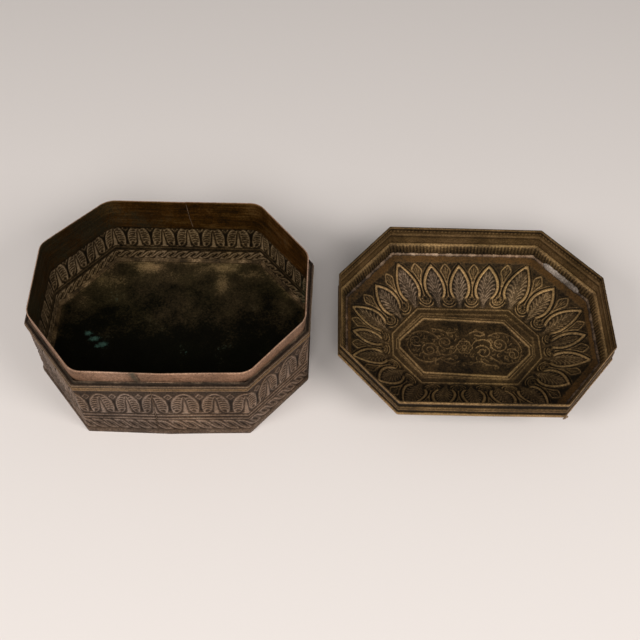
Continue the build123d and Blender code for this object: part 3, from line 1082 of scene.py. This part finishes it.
mouth_stations = Stations(1.5, bend_steps=7)
lumpy_hoop(
    "collar_foot_solder", "collar_solder", "box", mouth_stations,
    [(2.85, 52.0), (2.85, 56.8), (3.5, 56.9), (3.9, 57.3), (4.3, 57.7), (4.7, 57.95), (4.9, 52.0)],
    [0, 0, 0, 0.05, 0.12, 0.12, 0], [-1, -1, -1, -0.6, -0.35, -0.6, -1], BEAD_DARK,
)

MEND_REACH = 9
mend_x = np.linspace(-MEND_REACH, MEND_REACH, 40)
mend_y, mend_z = -collar_face - 0.35, WALL_HEIGHT + 1.0
mend_path = np.column_stack([mend_x, np.full_like(mend_x, mend_y), np.full_like(mend_x, mend_z)])
solder_run("front_mend_solder", "box", mend_path, (0, 0.28, 0), (0, 0, 0.25))

# %% [markdown]
# The base and the lid's top are flat sheets, and a flat sheet is a hoop too: its rows close in
# on a line along the middle, and zip together there. To paint or emboss one, it helps to know
# how far in from an eight-sided outline each point is.

# %% Flat sheets
def centre_line(stations, ring, half_length, z):
    """Where a flat sheet's rows end: a line along the middle."""
    front_half = np.abs(ring[stations.side == FRONT][:, 0]).max()
    middle_x = np.clip(ring[:, 0] * half_length / front_half, -half_length, half_length)
    return np.column_stack([middle_x, np.zeros(len(ring)), np.full(len(ring), float(z))])


def inset(x, y, reach):
    """How far inside an eight-sided outline each point is."""
    return np.min([d - nx * x - ny * y for d, (nx, ny) in zip(reach, FACING)], axis=0)


print("the middle of the box is", round(float(inset(0, 0, BOX)), 1), "mm in from its sides")

# %% [markdown]
# The base is a flat plate let into the foot of the wall. Years of lime and leaf left it dark,
# and it is made nearly black, partly as painted shade, with a tan border where the solder and
# the corner kept it clean, tan patches at the back, and a few spots of verdigris. It is painted
# darker still towards the front, as the front wall's shadow, and paler at the back, as painted
# light, and the border fades out towards the front. The floor is hammered, so it isn't quite
# flat.

# %% Base plate
PLATE = BOX - wall_set_back(0) - SHEET
PLATE_TOP = size_in_mm("base_plate")[1][2]
PLATE_LINE = 50
# Spots and patches: their middle, half length and half depth, and for tan how strong it is
VERDIGRIS = [
    (-69, 3, 3.2, 2.2), (-64, -2, 4.2, 2.6), (-57, -7, 3.4, 2.6), (-61, -9, 2.5, 1.6), (5, -12, 1.0, 0.8),
]
TAN_PATCHES = [
    (-30, 68, 13, 6, 1.0), (22, 68, 15, 6, 0.8), (-60, 54, 20, 9, 0.55), (27, 50, 6, 15, 0.65),
    (33, 27, 7, 12, 0.45), (-80, 36, 9, 9, 0.5), (52, 62, 12, 8, 0.5), (-5, 60, 18, 8, 0.35),
    (76, 36, 7, 16, 0.35), (-8, 22, 22, 10, 0.2),
]


def build_plate():
    stations = Stations(1.6)
    ring = stations.ring(PLATE, PLATE_TOP)
    under = stations.ring(PLATE, 0)
    upper = lay_rows([ring, centre_line(stations, ring, PLATE_LINE, PLATE_TOP)], 1.6)
    lower = lay_rows([centre_line(stations, under, PLATE_LINE, 0), under], 12)
    x, y = upper[..., 0], upper[..., 1]
    hammered = 0.12 * (np.sin(x / 17 + 1.3) * np.sin(y / 13 + 0.4) + np.sin((x + y) / 23))
    upper[..., 2] += hammered * step(inset(x, y, PLATE) - 3, 1) - 0.12
    # The border fades out towards the front: painted shade over the real clean border.
    border = 0.75 * ridge(inset(x, y, PLATE), 5) * step(y + 15, 15)
    tan = highest(border, *[strong * blotch(x, y, *patch) for *patch, strong in TAN_PATCHES])
    green = highest(*[blotch(x, y, *spot) for spot in VERDIGRIS])
    # Painted light and shade: paler at the back, where the lamps reach, and darker at the front, where the
    # front wall's shadow falls.
    painted_light_and_shade = 0.35 * step(y - 30, 14) - 0.55 * step(-y - 5, 14) - 0.25
    return hoop("floor_of_box", "box", [
        (lower, 0, WALL_OUTSIDE),
        (upper, np.clip(-0.45 + painted_light_and_shade + 1.1 * tan, -1, 1), FLOOR_PLATE, 0.85 * green),
    ], closed_profile=False)


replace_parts(build_plate(), "base_plate")
solder_back = wall_set_back(0) + SHEET
FILLET = np.array([(-0.1, 1.0), (-0.1, 3.3), (0.4, 3.1), (1.0, 2.4), (1.8, 1.6), (2.6, 1.05)])
lumpy_hoop(
    "floor_edge_solder", "base_solder", "box", Stations(1.6), FILLET + [solder_back, 0],
    [0, 0, 0.15, 0.25, 0.2, 0.05], [-0.1, -0.15, -0.2, -0.25, -0.2, -0.1], WALL_INSIDE,
)

# %% [markdown]
# The lid is three pieces of sheet: a skirt, a fluted ring that slopes in from it, and a dished
# top. It lies upside down, so its skirt is uppermost. The skirt was rolled with beads and a
# row of punched dots, which show on both faces.

# %% Lid skirt
skirt_low, skirt_high = size_in_mm("lid_skirt")
LID_PLACE = ((skirt_low[0] + skirt_high[0]) / 2, 0, 0)
SKIRT_FOOT, SKIRT_RIM = skirt_low[2], skirt_high[2]
SKIRT_INSIDE = 3.2
DOT_PITCH = 2.7
# Both faces as set-back and height, up the outside and down the inside
SKIRT_OUT = np.array([
    (3.1, 0), (2.2, 0.05), (1.75, 0.4), (1.55, 1.0), (1.5, 1.6), (1.6, 2.3), (1.95, 2.8), (2.3, 3.2),
    (2.45, 4.0), (2.4, 4.8), (2.15, 5.4), (1.95, 6.0), (1.9, 6.8), (2.05, 7.5), (2.15, 7.9), (1.95, 8.4),
    (1.9, 9.1), (2.1, 9.7), (2.35, 10.2), (2.4, 10.8), (2.4, 11.4), (2.4, 12.0), (2.35, 12.6), (2.3, 13.1),
    (2.05, 13.5), (1.85, 14.1), (1.8, 14.9), (1.9, 15.6), (2.3, 15.95), (2.6, 16.0),
])
SKIRT_IN = np.array([
    (2.65, 15.95), (3.0, 15.7), (3.2, 15.2), (3.2, 14.6), (3.1, 14.0), (3.05, 13.4), (3.05, 12.8),
    (3.05, 12.2), (3.05, 11.6), (3.05, 11.0), (3.1, 10.4), (3.15, 9.9), (3.25, 9.4), (3.35, 8.9),
    (3.35, 8.2), (3.25, 7.6), (3.05, 7.1), (2.95, 6.4), (3.05, 5.8), (3.15, 5.0), (3.2, 4.0), (3.2, 2.8),
    (3.2, 1.6), (3.2, 0.8), (3.2, 0.0),
])
skirt_stations = Stations(0.65)


def build_skirt():
    """Both faces. The dots stand in from outside and out from inside."""
    stretches = []
    for profile, dots_at, sunk in ((SKIRT_OUT, 11.4, -1), (SKIRT_IN, 12.4, 1)):
        rows = lay_profile(skirt_stations, profile + [0, SKIRT_FOOT])
        along, length = distance_round(rows[0])
        dots = np.cos(2 * np.pi * along / length * round(length / DOT_PITCH))[None, :]
        row_of_dots = ridge(profile[:, 1:] - dots_at, 0.75) * (0.5 + 0.5 * dots)
        rows = rows + normals(rows) * (0.25 * sunk * row_of_dots)[..., None]
        sag = np.minimum(0.25 * wander(along / length, (2, 3, 5, 7)) - 0.25, 0)
        rows[..., 2] += sag[None, :] * (profile[:, 1] / (SKIRT_RIM - SKIRT_FOOT))[:, None]
        standing = sunk * (profile[:, :1] - np.median(profile[:, 0]))
        relief = 2.2 * standing + 1.1 * sunk * row_of_dots + 0.25 * wander(along / length, (19, 31, 47))
        relief = relief - 0.35 * (sunk < 0) + 0.5 * step(profile[:, 1:] - 15.4, 0.2)
        dark_edge = 0.7 * ridge(profile[:, 1:] - 13.6, 1.0) * (sunk > 0)
        stretches.append((rows, np.clip(relief - dark_edge, -1, 1), LID_SKIRT_BRASS))
    return hoop("skirt_of_lid", "lid", stretches, shift=LID_PLACE)


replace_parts(build_skirt(), "lid_skirt")

# %% [markdown]
# The ring between skirt and top has close flutes across it. Its shoulder is painted paler as a
# painted highlight, and the ring is painted darker towards its foot as painted shade. It needs
# several points to each flute, so it has stations of its own.

# %% Fluted ring
RING_RUN = 4.6
RING_DROP = 8.0
FLUTE_PITCH = 2.6
FLUTE_HEIGHT = 0.36
RING_THICKNESS = 0.75
ring_inner_back = SKIRT_INSIDE + RING_RUN
ring_inner_height = SKIRT_FOOT - RING_DROP
RING_SHOULDER = [
    (0, 0), (0.5, -0.05), (1.0, -0.2), (1.6, -0.6), (2.1, -1.15), (2.6, -1.9), (3.0, -2.7), (3.4, -3.6),
    (3.75, -4.6), (4.05, -5.6), (4.3, -6.5), (4.5, -7.3), (4.6, -8.0),
]


def build_fluted_ring():
    stations = Stations(0.42)
    rows = lay_profile(stations, [(SKIRT_INSIDE + run, SKIRT_FOOT + drop) for run, drop in RING_SHOULDER])
    along, length = distance_round(rows[0])
    flutes = np.abs(np.cos(np.pi * along / length * round(length / FLUTE_PITCH)))[None, :] * 2 - 1.2
    place = np.linspace(0, 1, len(rows))[:, None]
    fluted = step(place - 0.36, 0.05) * step(0.90 - place, 0.04)
    fluted = fluted * (0.7 + 0.3 * wander(along / length, (5, 9, 14)))
    height = fluted * flutes + 0.3 * wander(along / length, (23, 37))[None, :] * fluted
    top = rows + normals(rows) * (FLUTE_HEIGHT * (height - 0.2))[..., None]
    top[0] = rows[0]
    below = (rows - normals(rows) * RING_THICKNESS)[::-1]
    # Painted highlight along the shoulder, where the ring turns in from the skirt.
    shoulder_highlight = 0.55 * ridge(place - 0.16, 0.17)
    # The last term is painted shade, darker towards the foot of the ring.
    relief = height * 0.5 + 0.15 + shoulder_highlight - 0.75 * place**1.4
    return hoop("fluted_ring", "lid", [
        (top, np.clip(relief, -1, 1), LID_BRASS),
        (below, 0.1, LID_BRASS),
    ], shift=LID_PLACE)


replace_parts(build_fluted_ring(), "lid_gadroon_ring")

# %% [markdown]
# The top sheet is the showpiece: twenty pointed leaves fan up from a flat panel, with a bud
# between each pair, and a nest of round scrolls at their feet. The leaves are counted round
# the sheet as on the wall, and each is drawn in its own straightened space, where the edge of
# the leaf is always at the same distance. That lets one drawing fit the wide leaves of the
# long sides and the narrow ones of the ends.

# %% Sizes of the top sheet
LEAF_RING_WIDTH, PANEL_WIDTH = 127.0, 68.0
LEAF_RING = reaches(168.0, LEAF_RING_WIDTH, 35.0)
PANEL = reaches(110.0, PANEL_WIDTH, 20.0)
LEAF_RING_HEIGHT = 16.0
SLOPE_RUN = (LEAF_RING_WIDTH - PANEL_WIDTH) / 2
SLOPE_LENGTH = math.hypot(SLOPE_RUN, LEAF_RING_HEIGHT)
LEAVES_ON_SIDE = np.array([4, 2, 2, 2] * 2)
print(LEAVES_ON_SIDE.sum(), "leaves stand on a slope", round(SLOPE_LENGTH, 1), "mm long")

# %% [markdown]
# Inside a leaf, combed lobes curl up from the stem, each ending in a small knob. A bold border
# runs round the leaf, with a groove on both sides of it. The feet of two leaves part round a
# scroll, and the bud stands on that.

# %% Leaves of the lid
LEAF_EDGE = 7.4
LEAF_BORDER = 2.3
# Half the width of a leaf, as a share of its room, for places from foot to tip
LEAF_SHAPE = smooth_line([
    (0, 0.20), (0.10, 0.22), (0.20, 0.30), (0.32, 0.40), (0.45, 0.43), (0.60, 0.385), (0.75, 0.28),
    (0.88, 0.15), (0.96, 0.05), (1.0, 0.0),
])
BUD = smooth_line([(0, 33.4), (1.5, 32.0), (3.3, 29.3), (3.4, 27.4), (2.0, 24.6), (0.9, 21.0), (0.5, 17)])
LOBES = 8
LOBE_PITCH = 3.15
SCROLL_CENTRE = 7.0


def draw_lobes(x, y):
    """Combed lobes that curl up and out from the stem, in straightened leaf space."""
    height = np.zeros_like(x)
    for number in range(LOBES):
        root = 3.0 + LOBE_PITCH * number
        lobe = smooth_line([(1.0, root), (2.4, root + 2.6), (4.2, root + 5.0), (6.4, root + 6.0)], 3)
        knob = ridge(np.hypot(x - 6.9, y - root - 5.6), 0.95)
        height = highest(height, stroke(lobe, x, y, 0.75), 0.9 * knob)
    return height


def leaves_relief(leaves, spacing, share):
    """Leaves, buds and scrolls, and which points lie inside a leaf."""
    y = share * SLOPE_LENGTH
    offset = np.abs(leaves - np.round(leaves))
    half = np.interp(share, LEAF_SHAPE[:, 0], LEAF_SHAPE[:, 1])
    slope = np.gradient(half, axis=0) / np.gradient(share, axis=0)
    lean = 1 / np.sqrt(1 + (slope * spacing / SLOPE_LENGTH) ** 2)
    edge = (half - offset) * spacing * lean
    straightened = offset / np.maximum(half, 0.04) * (LEAF_EDGE + LEAF_BORDER)
    between = (0.5 - offset) * spacing
    from_centre = np.hypot(between, y - SCROLL_CENTRE)

    on_slope = step(share - 0.01, 0.004) * step(1.03 - share, 0.01)
    above_scrolls = step(share - 0.22, 0.015)
    inside = step(edge - LEAF_BORDER, 0.15)
    outside = step(-edge - 0.3, 0.15)
    low_outside = step(-edge + 0.6, 0.15)
    lower_half = step(SCROLL_CENTRE + 1.5 - y, 0.5)

    border = step(edge - 0.1, 0.12) * step(LEAF_BORDER - edge, 0.18) * above_scrolls
    stem = step(np.interp(y, [0, 28], [1.7, 0.2]) - offset * spacing, 0.15) * step(28.5 - y, 0.6)
    fan = np.abs(np.cos(4 * np.arctan2(between, y - SCROLL_CENTRE + 0.01)))
    height = highest(
        border,
        0.4 * ridge(edge + 1.35, 0.42) * above_scrolls,
        inside * 0.75 * draw_lobes(straightened, y),
        0.45 * stem * step(edge, 0.2) * (0.5 + 0.5 * ridge(offset * spacing, 0.5)),
        low_outside * 0.95 * ridge(from_centre - 6.0, 0.55) * lower_half,
        low_outside * 0.85 * ridge(from_centre - 4.1, 0.5) * step(SCROLL_CENTRE + 2.5 - y, 0.5),
        low_outside * 0.7 * fan * step(3.0 - from_centre, 0.3) * step(from_centre - 1.0, 0.3),
        outside * 0.9 * stroke([(0, 9.0), (0, 20.5)], between, y, 0.5),
        outside * 0.9 * stroke(BUD, between, y, 0.55),
        outside * 0.7 * stroke([(0, 31), (0, 23)], between, y, 0.45),
        outside * 0.6 * stroke([(1.7, 29.6), (0.8, 26)], between, y, 0.4),
    )
    groove = highest(
        ridge(edge + 0.45, 0.45) * above_scrolls,
        0.8 * ridge(edge - LEAF_BORDER - 0.3, 0.35) * above_scrolls,
        low_outside * lower_half * ridge(from_centre - 5.05, 0.35),
        0.8 * ridge(from_centre, 0.9),
    )
    return (height - 0.7 * groove) * on_slope - 0.3 * on_slope, inside * on_slope


print("each leaf has", LOBES, "lobes a side")

# %% [markdown]
# The panel is framed by flat steps and worn lines that follow its eight sides. Inside lies
# a common arabesque: a flower in the middle, and scrolls of vine that turn away from it on
# both sides, with small leaves in the gaps. It is drawn with spirals and short strokes, in the
# same way as the leaves.

# %% Panel of the lid
PANEL_CENTRE = (-1.6, -1.4)
PANEL_TURN = math.radians(-2.5)
OUTER_LINE = reaches(107.0, 65.5, 19.5)
INNER_LINE = reaches(94.0, 48.0, 17.5)
CURL_SEED = 5
CURL_TRIES = 260
CURL_ROOM = 4.6
CURL_WIDTH = 0.42
# The three spirals of a half: their middle, and the reach and start of the small leaves on them
SPIRALS = ((13.5, -3.5, 8.0, 195), (25.5, 4.0, 8.4, -60), (35.0, -4.0, 6.8, 200))


def spiral(x, y, radius, turns, start, hand):
    """Points of a vine that curls in on (x, y)."""
    share = np.linspace(0, 1, round(14 * turns) + 1)
    angle = math.radians(start) + hand * 2 * np.pi * turns * share
    distance = radius * (1 - 0.82 * share)
    return np.column_stack([x + distance * np.cos(angle), y + distance * np.sin(angle)])


def small_curls():
    """Small hooks and curls that fill the ground, each away from the others."""
    pick = np.random.default_rng(CURL_SEED)
    places = []
    curls = []
    for x, y in pick.uniform((-41, -17), (41, 17), (CURL_TRIES, 2)):
        if all(math.hypot(x - px, y - py) > CURL_ROOM for px, py in places):
            places.append((x, y))
            radius, turns = pick.uniform(1.4, 2.3), pick.uniform(0.5, 0.9)
            start, hand = pick.uniform(0, 360), pick.choice((-1, 1))
            curls.append(spiral(x, y, radius, turns, start, hand))
    return curls


def vine_strokes():
    """Lines of the arabesque, each with its width, for the right half."""
    strokes = [
        (spiral(13.5, -3.5, 6.2, 1.5, 150, -1), 0.55),
        (spiral(25.5, 4.0, 6.6, 1.6, 200, 1), 0.55),
        (spiral(35.0, -4.0, 5.2, 1.4, 120, -1), 0.5),
        (smooth_line([(5.5, 1.5), (8.0, 5.5), (13.0, 7.5), (18.0, 6.5), (20.0, 2.5)]), 0.5),
        (smooth_line([(18.0, 11.0), (25.0, 14.5), (33.5, 12.5), (39.0, 6.5), (41.5, 0.5)]), 0.6),
        (smooth_line([(18.5, -7.0), (24.0, -11.0), (31.5, -12.5), (38.0, -9.5), (41.0, -4.0)]), 0.6),
        (smooth_line([(6.0, -13.5), (11.0, -12.0), (17.0, -14.5), (23.0, -14.5)]), 0.5),
        (smooth_line([(4.0, 12.5), (9.0, 14.8), (15.0, 12.8), (12.0, 10.8), (8.0, 11.5)]), 0.5),
    ]
    for x, y, reach, first in SPIRALS:
        for number in range(8):
            angle = math.radians(first + 29 * number)
            out = np.array([math.cos(angle), math.sin(angle)])
            turn = np.array([-out[1], out[0]])
            root = np.array([x, y]) + out * (reach - 1.3)
            tip = root + out * 1.7 + turn * 1.9
            strokes.append((smooth_line([root, root + out * 1.1 + turn * 0.7, tip], 3), 0.45))
    return strokes


print(2 * len(vine_strokes()), "strokes of vine and", len(small_curls()), "small curls")

# %% [markdown]
# The drawing is laid in its frame a little off the middle and a little turned, as the real one
# is. The right half is drawn as it stands, and the left half is the same turned by half a
# circle. Only the points inside the frame are worked out, because the strokes are many.

# %% Relief of the panel
# Where the arabesque gets a painted highlight: the middle and the half sizes of the patch.
HIGHLIGHT_PATCH = (15, 3, 10, 12)


def panel_relief(x, y):
    """Frame lines and arabesque of the flat panel."""
    dx, dy = x - PANEL_CENTRE[0], y - PANEL_CENTRE[1]
    px = dx * math.cos(PANEL_TURN) + dy * math.sin(PANEL_TURN)
    py = dy * math.cos(PANEL_TURN) - dx * math.sin(PANEL_TURN)
    framed = inset(px, py, INNER_LINE)
    from_edge = inset(x, y, OUTER_LINE)
    height = highest(
        0.8 * ridge(from_edge, 0.6),
        0.1 * step(from_edge - 1.2, 0.3) * step(-1.2 - framed, 0.3) + 0.4 * ridge(from_edge - 4.5, 0.8),
        1.0 * ridge(framed, 0.8),
        0.7 * ridge(framed + 2.2, 0.45),
    )
    near = framed > 1.6
    nx, ny = px[near], py[near]
    best = np.zeros_like(nx)
    for line, width in vine_strokes():
        halves = [stroke(line, side * nx, side * ny, 0.85 * width) for side in (1, -1)]
        best = highest(best, 0.85 * halves[0], 0.85 * halves[1])
    for line in small_curls():
        best = highest(best, 0.7 * stroke(line, nx, ny, CURL_WIDTH))
    petal_angle = np.arctan2(ny, nx)
    from_middle = np.hypot(nx, ny)
    flower = from_middle - 4.6 - 1.3 * np.abs(np.cos(3 * petal_angle))
    petals = np.abs(np.cos(6 * petal_angle)) ** 6
    petals = petals * step(4.4 - from_middle, 0.3) * step(from_middle - 1.9, 0.2)
    # Painted highlight: the drawing stands higher, and so paler, in a patch right of the middle.
    rubbed_and_highlight = 0.75 + 0.4 * blotch(nx, ny, *HIGHLIGHT_PATCH)
    drawn = np.zeros_like(x)
    drawn[near] = rubbed_and_highlight * highest(best, ridge(flower, 0.5), 0.8 * petals, ridge(from_middle - 1.5, 0.45))
    sunk = 0.12 * step(framed - 1.2, 0.3)
    return np.maximum(height, drawn) - 0.12 - sunk


print("the frame of the panel is", round(2 * INNER_LINE[2]), "by", round(2 * INNER_LINE[0]), "mm inside")

# %% [markdown]
# The sheet's rows run in from the fluted ring over a plain band, down the slope of the leaves
# and over the panel to the middle. The band and the slope know how many leaves lie between the
# front left corner and each station, so the drawings fall where they should on every side.

# %% Rows of the top sheet
TOP_SPACING = 0.55
PANEL_LINE = 30.0
LID_EMBOSS = 0.8
# The leaves at the back don't stand quite evenly: shares of the side, and of its leaves
BACK_PLACES, BACK_LEAVES = (0, 0.29, 0.53, 0.75, 1), (0, 0.25, 0.5, 0.75, 1)
WIDEST_LEAF = 26.0


def leaf_count_at(stations):
    """How many leaves there are from the front left corner to each station."""
    before = np.concatenate([[0], np.cumsum(LEAVES_ON_SIDE)[:-1]])
    share = np.where(stations.bent, 1.0, stations.share)
    share = np.where(stations.side == BACK, np.interp(share, BACK_PLACES, BACK_LEAVES), share)
    return before[stations.side] + share * LEAVES_ON_SIDE[stations.side]


def top_face(stations, drop, spacing):
    """Rows from the rim of the top sheet in to its middle, and each row's share of the slope."""
    rise = SHEET * SLOPE_LENGTH / SLOPE_RUN
    rim = stations.ring(BOX - ring_inner_back, ring_inner_height - drop)
    tips = stations.ring(LEAF_RING, LEAF_RING_HEIGHT + rise - drop)
    feet = stations.ring(PANEL, SHEET - drop, 1.0)
    middle = centre_line(stations, feet, PANEL_LINE, SHEET - drop)
    band = lay_rows([rim, tips], spacing)[:-1]
    slope = lay_rows([tips, feet], spacing)[:-1]
    panel = lay_rows([feet, middle], spacing)
    share = np.concatenate([
        1 + np.linspace(1, 0, len(band), endpoint=False) * 0.3,
        np.linspace(1, 0, len(slope), endpoint=False),
        np.zeros(len(panel)),
    ])
    return np.concatenate([band, slope, panel]), share, len(band) + len(slope)


print("embossed", LID_EMBOSS, "mm high, with a point every", TOP_SPACING, "mm")

# %% [markdown]
# The relief is worked out at each point of the upper face, and again, more coarsely, for the
# face below, which follows it. The plain band is red with old copper. The insides of the leaves
# are painted a bluish grey as painted sheen, most of all at the back on the left, and the front
# of the slope is painted darker as painted shade.

# %% Build the top sheet
def top_relief(stations, rows, share, panel_start):
    """Height of the leaves and the panel, and which points lie inside a leaf."""
    leaves = leaf_count_at(stations)[None, :] + 0 * rows[..., 0]
    along = np.linalg.norm(np.roll(rows, -1, axis=1) - np.roll(rows, 1, axis=1), axis=2)
    counted = (np.roll(leaves, -1, axis=1) - np.roll(leaves, 1, axis=1)) % LEAVES_ON_SIDE.sum()
    spacing = along / np.maximum(counted, 1e-3)
    spacing = np.where(stations.bent[None, :], np.median(spacing, axis=1, keepdims=True), spacing)
    spacing = np.minimum(spacing, WIDEST_LEAF)[:panel_start]
    leaves = leaves[:panel_start]
    shares = share[:panel_start, None] + 0 * leaves
    height = np.zeros(rows.shape[:2])
    inside = np.zeros(rows.shape[:2])
    height[:panel_start], inside[:panel_start] = leaves_relief(leaves, spacing, shares)
    height[panel_start:] = panel_relief(rows[panel_start:, :, 0], rows[panel_start:, :, 1])
    return height, inside


def build_top_sheet():
    stations = Stations(TOP_SPACING, LEAF_RING)
    rows, share, panel_start = top_face(stations, 0.0, TOP_SPACING)
    height, inside = top_relief(stations, rows, share, panel_start)
    fade = np.clip(np.arange(len(rows)) / 4, 0, 1)[:, None]
    upper = rows + normals(rows) * (LID_EMBOSS * (height - 0.1) * fade)[..., None]
    upper[-1] = rows[-1]
    under, under_share, under_start = top_face(stations, SHEET, 2 * TOP_SPACING)
    under_height, _ = top_relief(stations, under, under_share, under_start)
    lower = under + normals(under) * (0.85 * LID_EMBOSS * (under_height + 0.25))[..., None]
    lower[-1] = under[-1]
    lower[..., 2] = np.maximum(lower[..., 2], 0)
    copper = 0.6 * step(share - 1.03, 0.02)[:, None]
    # Painted sheen: the insides of the leaves are paled to a bluish grey, most at the back on the left,
    # where they face the lamps.
    painted_sheen = 0.2 + 0.7 * step(upper[..., 1] - 25, 6) * step(35 - upper[..., 0], 12)
    # Painted shade: the front of the slope, which turns away from the lamps, is made darker.
    painted_front_shade = 0.3 * step(-upper[..., 1] - 32, 4)
    return hoop("top_of_lid", "lid", [
        (lower[::-1], np.clip(-under_height[::-1], -1, 1), LID_BRASS),
        (upper, np.clip(height * 1.35 - 0.15 - painted_front_shade, -1, 1), LID_BRASS, copper - inside * painted_sheen),
    ], closed_profile=False, shift=LID_PLACE)


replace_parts(build_top_sheet(), "lid_top_sheet")

# %% [markdown]
# The lid has solder of its own: a ragged pale line all along the joint of ring and top sheet,
# brightest at the back, and a lump on the skirt's lap at the front right.

# %% Solder of the lid
JOINT = np.array([(-0.9, 0.2), (-0.75, 1.2), (-0.2, 1.0), (0.6, 0.55), (1.3, -0.3), (0.2, -0.6)])
ring_corner = [ring_inner_back, ring_inner_height]
lumpy_hoop(
    "lid_joint_solder", "lid_ring_solder", "lid", Stations(0.9), JOINT + ring_corner,
    [0, 0.15, 0.2, 0.25, 0.25, 0], [-0.9, -0.5, -0.4, -0.5, -0.8, -0.9], SOLDER, shift=LID_PLACE,
    waves=(37, 61, 97, 151), back_bright=0.55,
)

lap_low, lap_high = size_in_mm("lid_skirt_solder")
lap_middle = (lap_low + lap_high) / 2 - LID_PLACE
lap_path = lap_middle + np.linspace(-1, 1, 16)[:, None] * np.array([1.9, 1.2, 0])
lap_run = solder_run("skirt_lap_solder", "lid", lap_path, (0.3, -0.5, 0), (0, 0, 0.85), shift=LID_PLACE)
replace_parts(lap_run, "lid_skirt_solder")

# %% [markdown]
# The crust is a run of solder too, but a broad and flat one. It lies on the fluted ring, which
# slopes there, so its width runs up the slope and its thickness stands off it.

# %% Repair crust
CRUST_SIDE = 3
CRUST_SHARES = (0.16, 0.82)
CRUST_BACK, CRUST_DROP, CRUST_LIFT = 4.5, 6.6, 0.5
CRUST_SLOPE = math.radians(60)
CRUST_HALF_WIDTH, CRUST_HALF_THICKNESS = 2.2, 0.4
CRUST_POINTS = 50
starts, ends, _ = straights(BOX - SKIRT_INSIDE - CRUST_BACK, BEND_RADIUS)
crust_share = np.linspace(*CRUST_SHARES, CRUST_POINTS)[:, None]
crust_path = starts[CRUST_SIDE] + crust_share * (ends - starts)[CRUST_SIDE]
crust_path = np.column_stack([crust_path, np.full(CRUST_POINTS, SKIRT_FOOT - CRUST_DROP)])
facing = np.append(FACING[CRUST_SIDE], 0)
up_slope = facing * math.cos(CRUST_SLOPE) + [0, 0, math.sin(CRUST_SLOPE)]
off_slope = -facing * math.sin(CRUST_SLOPE) + [0, 0, math.cos(CRUST_SLOPE)]
crust_path = crust_path + off_slope * CRUST_LIFT
crust_run = solder_run(
    "repair_crust_patch", "lid", crust_path, up_slope * CRUST_HALF_WIDTH,
    off_slope * CRUST_HALF_THICKNESS, shift=LID_PLACE, material=CRUST,
)
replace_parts(crust_run, "lid_repair_crust")
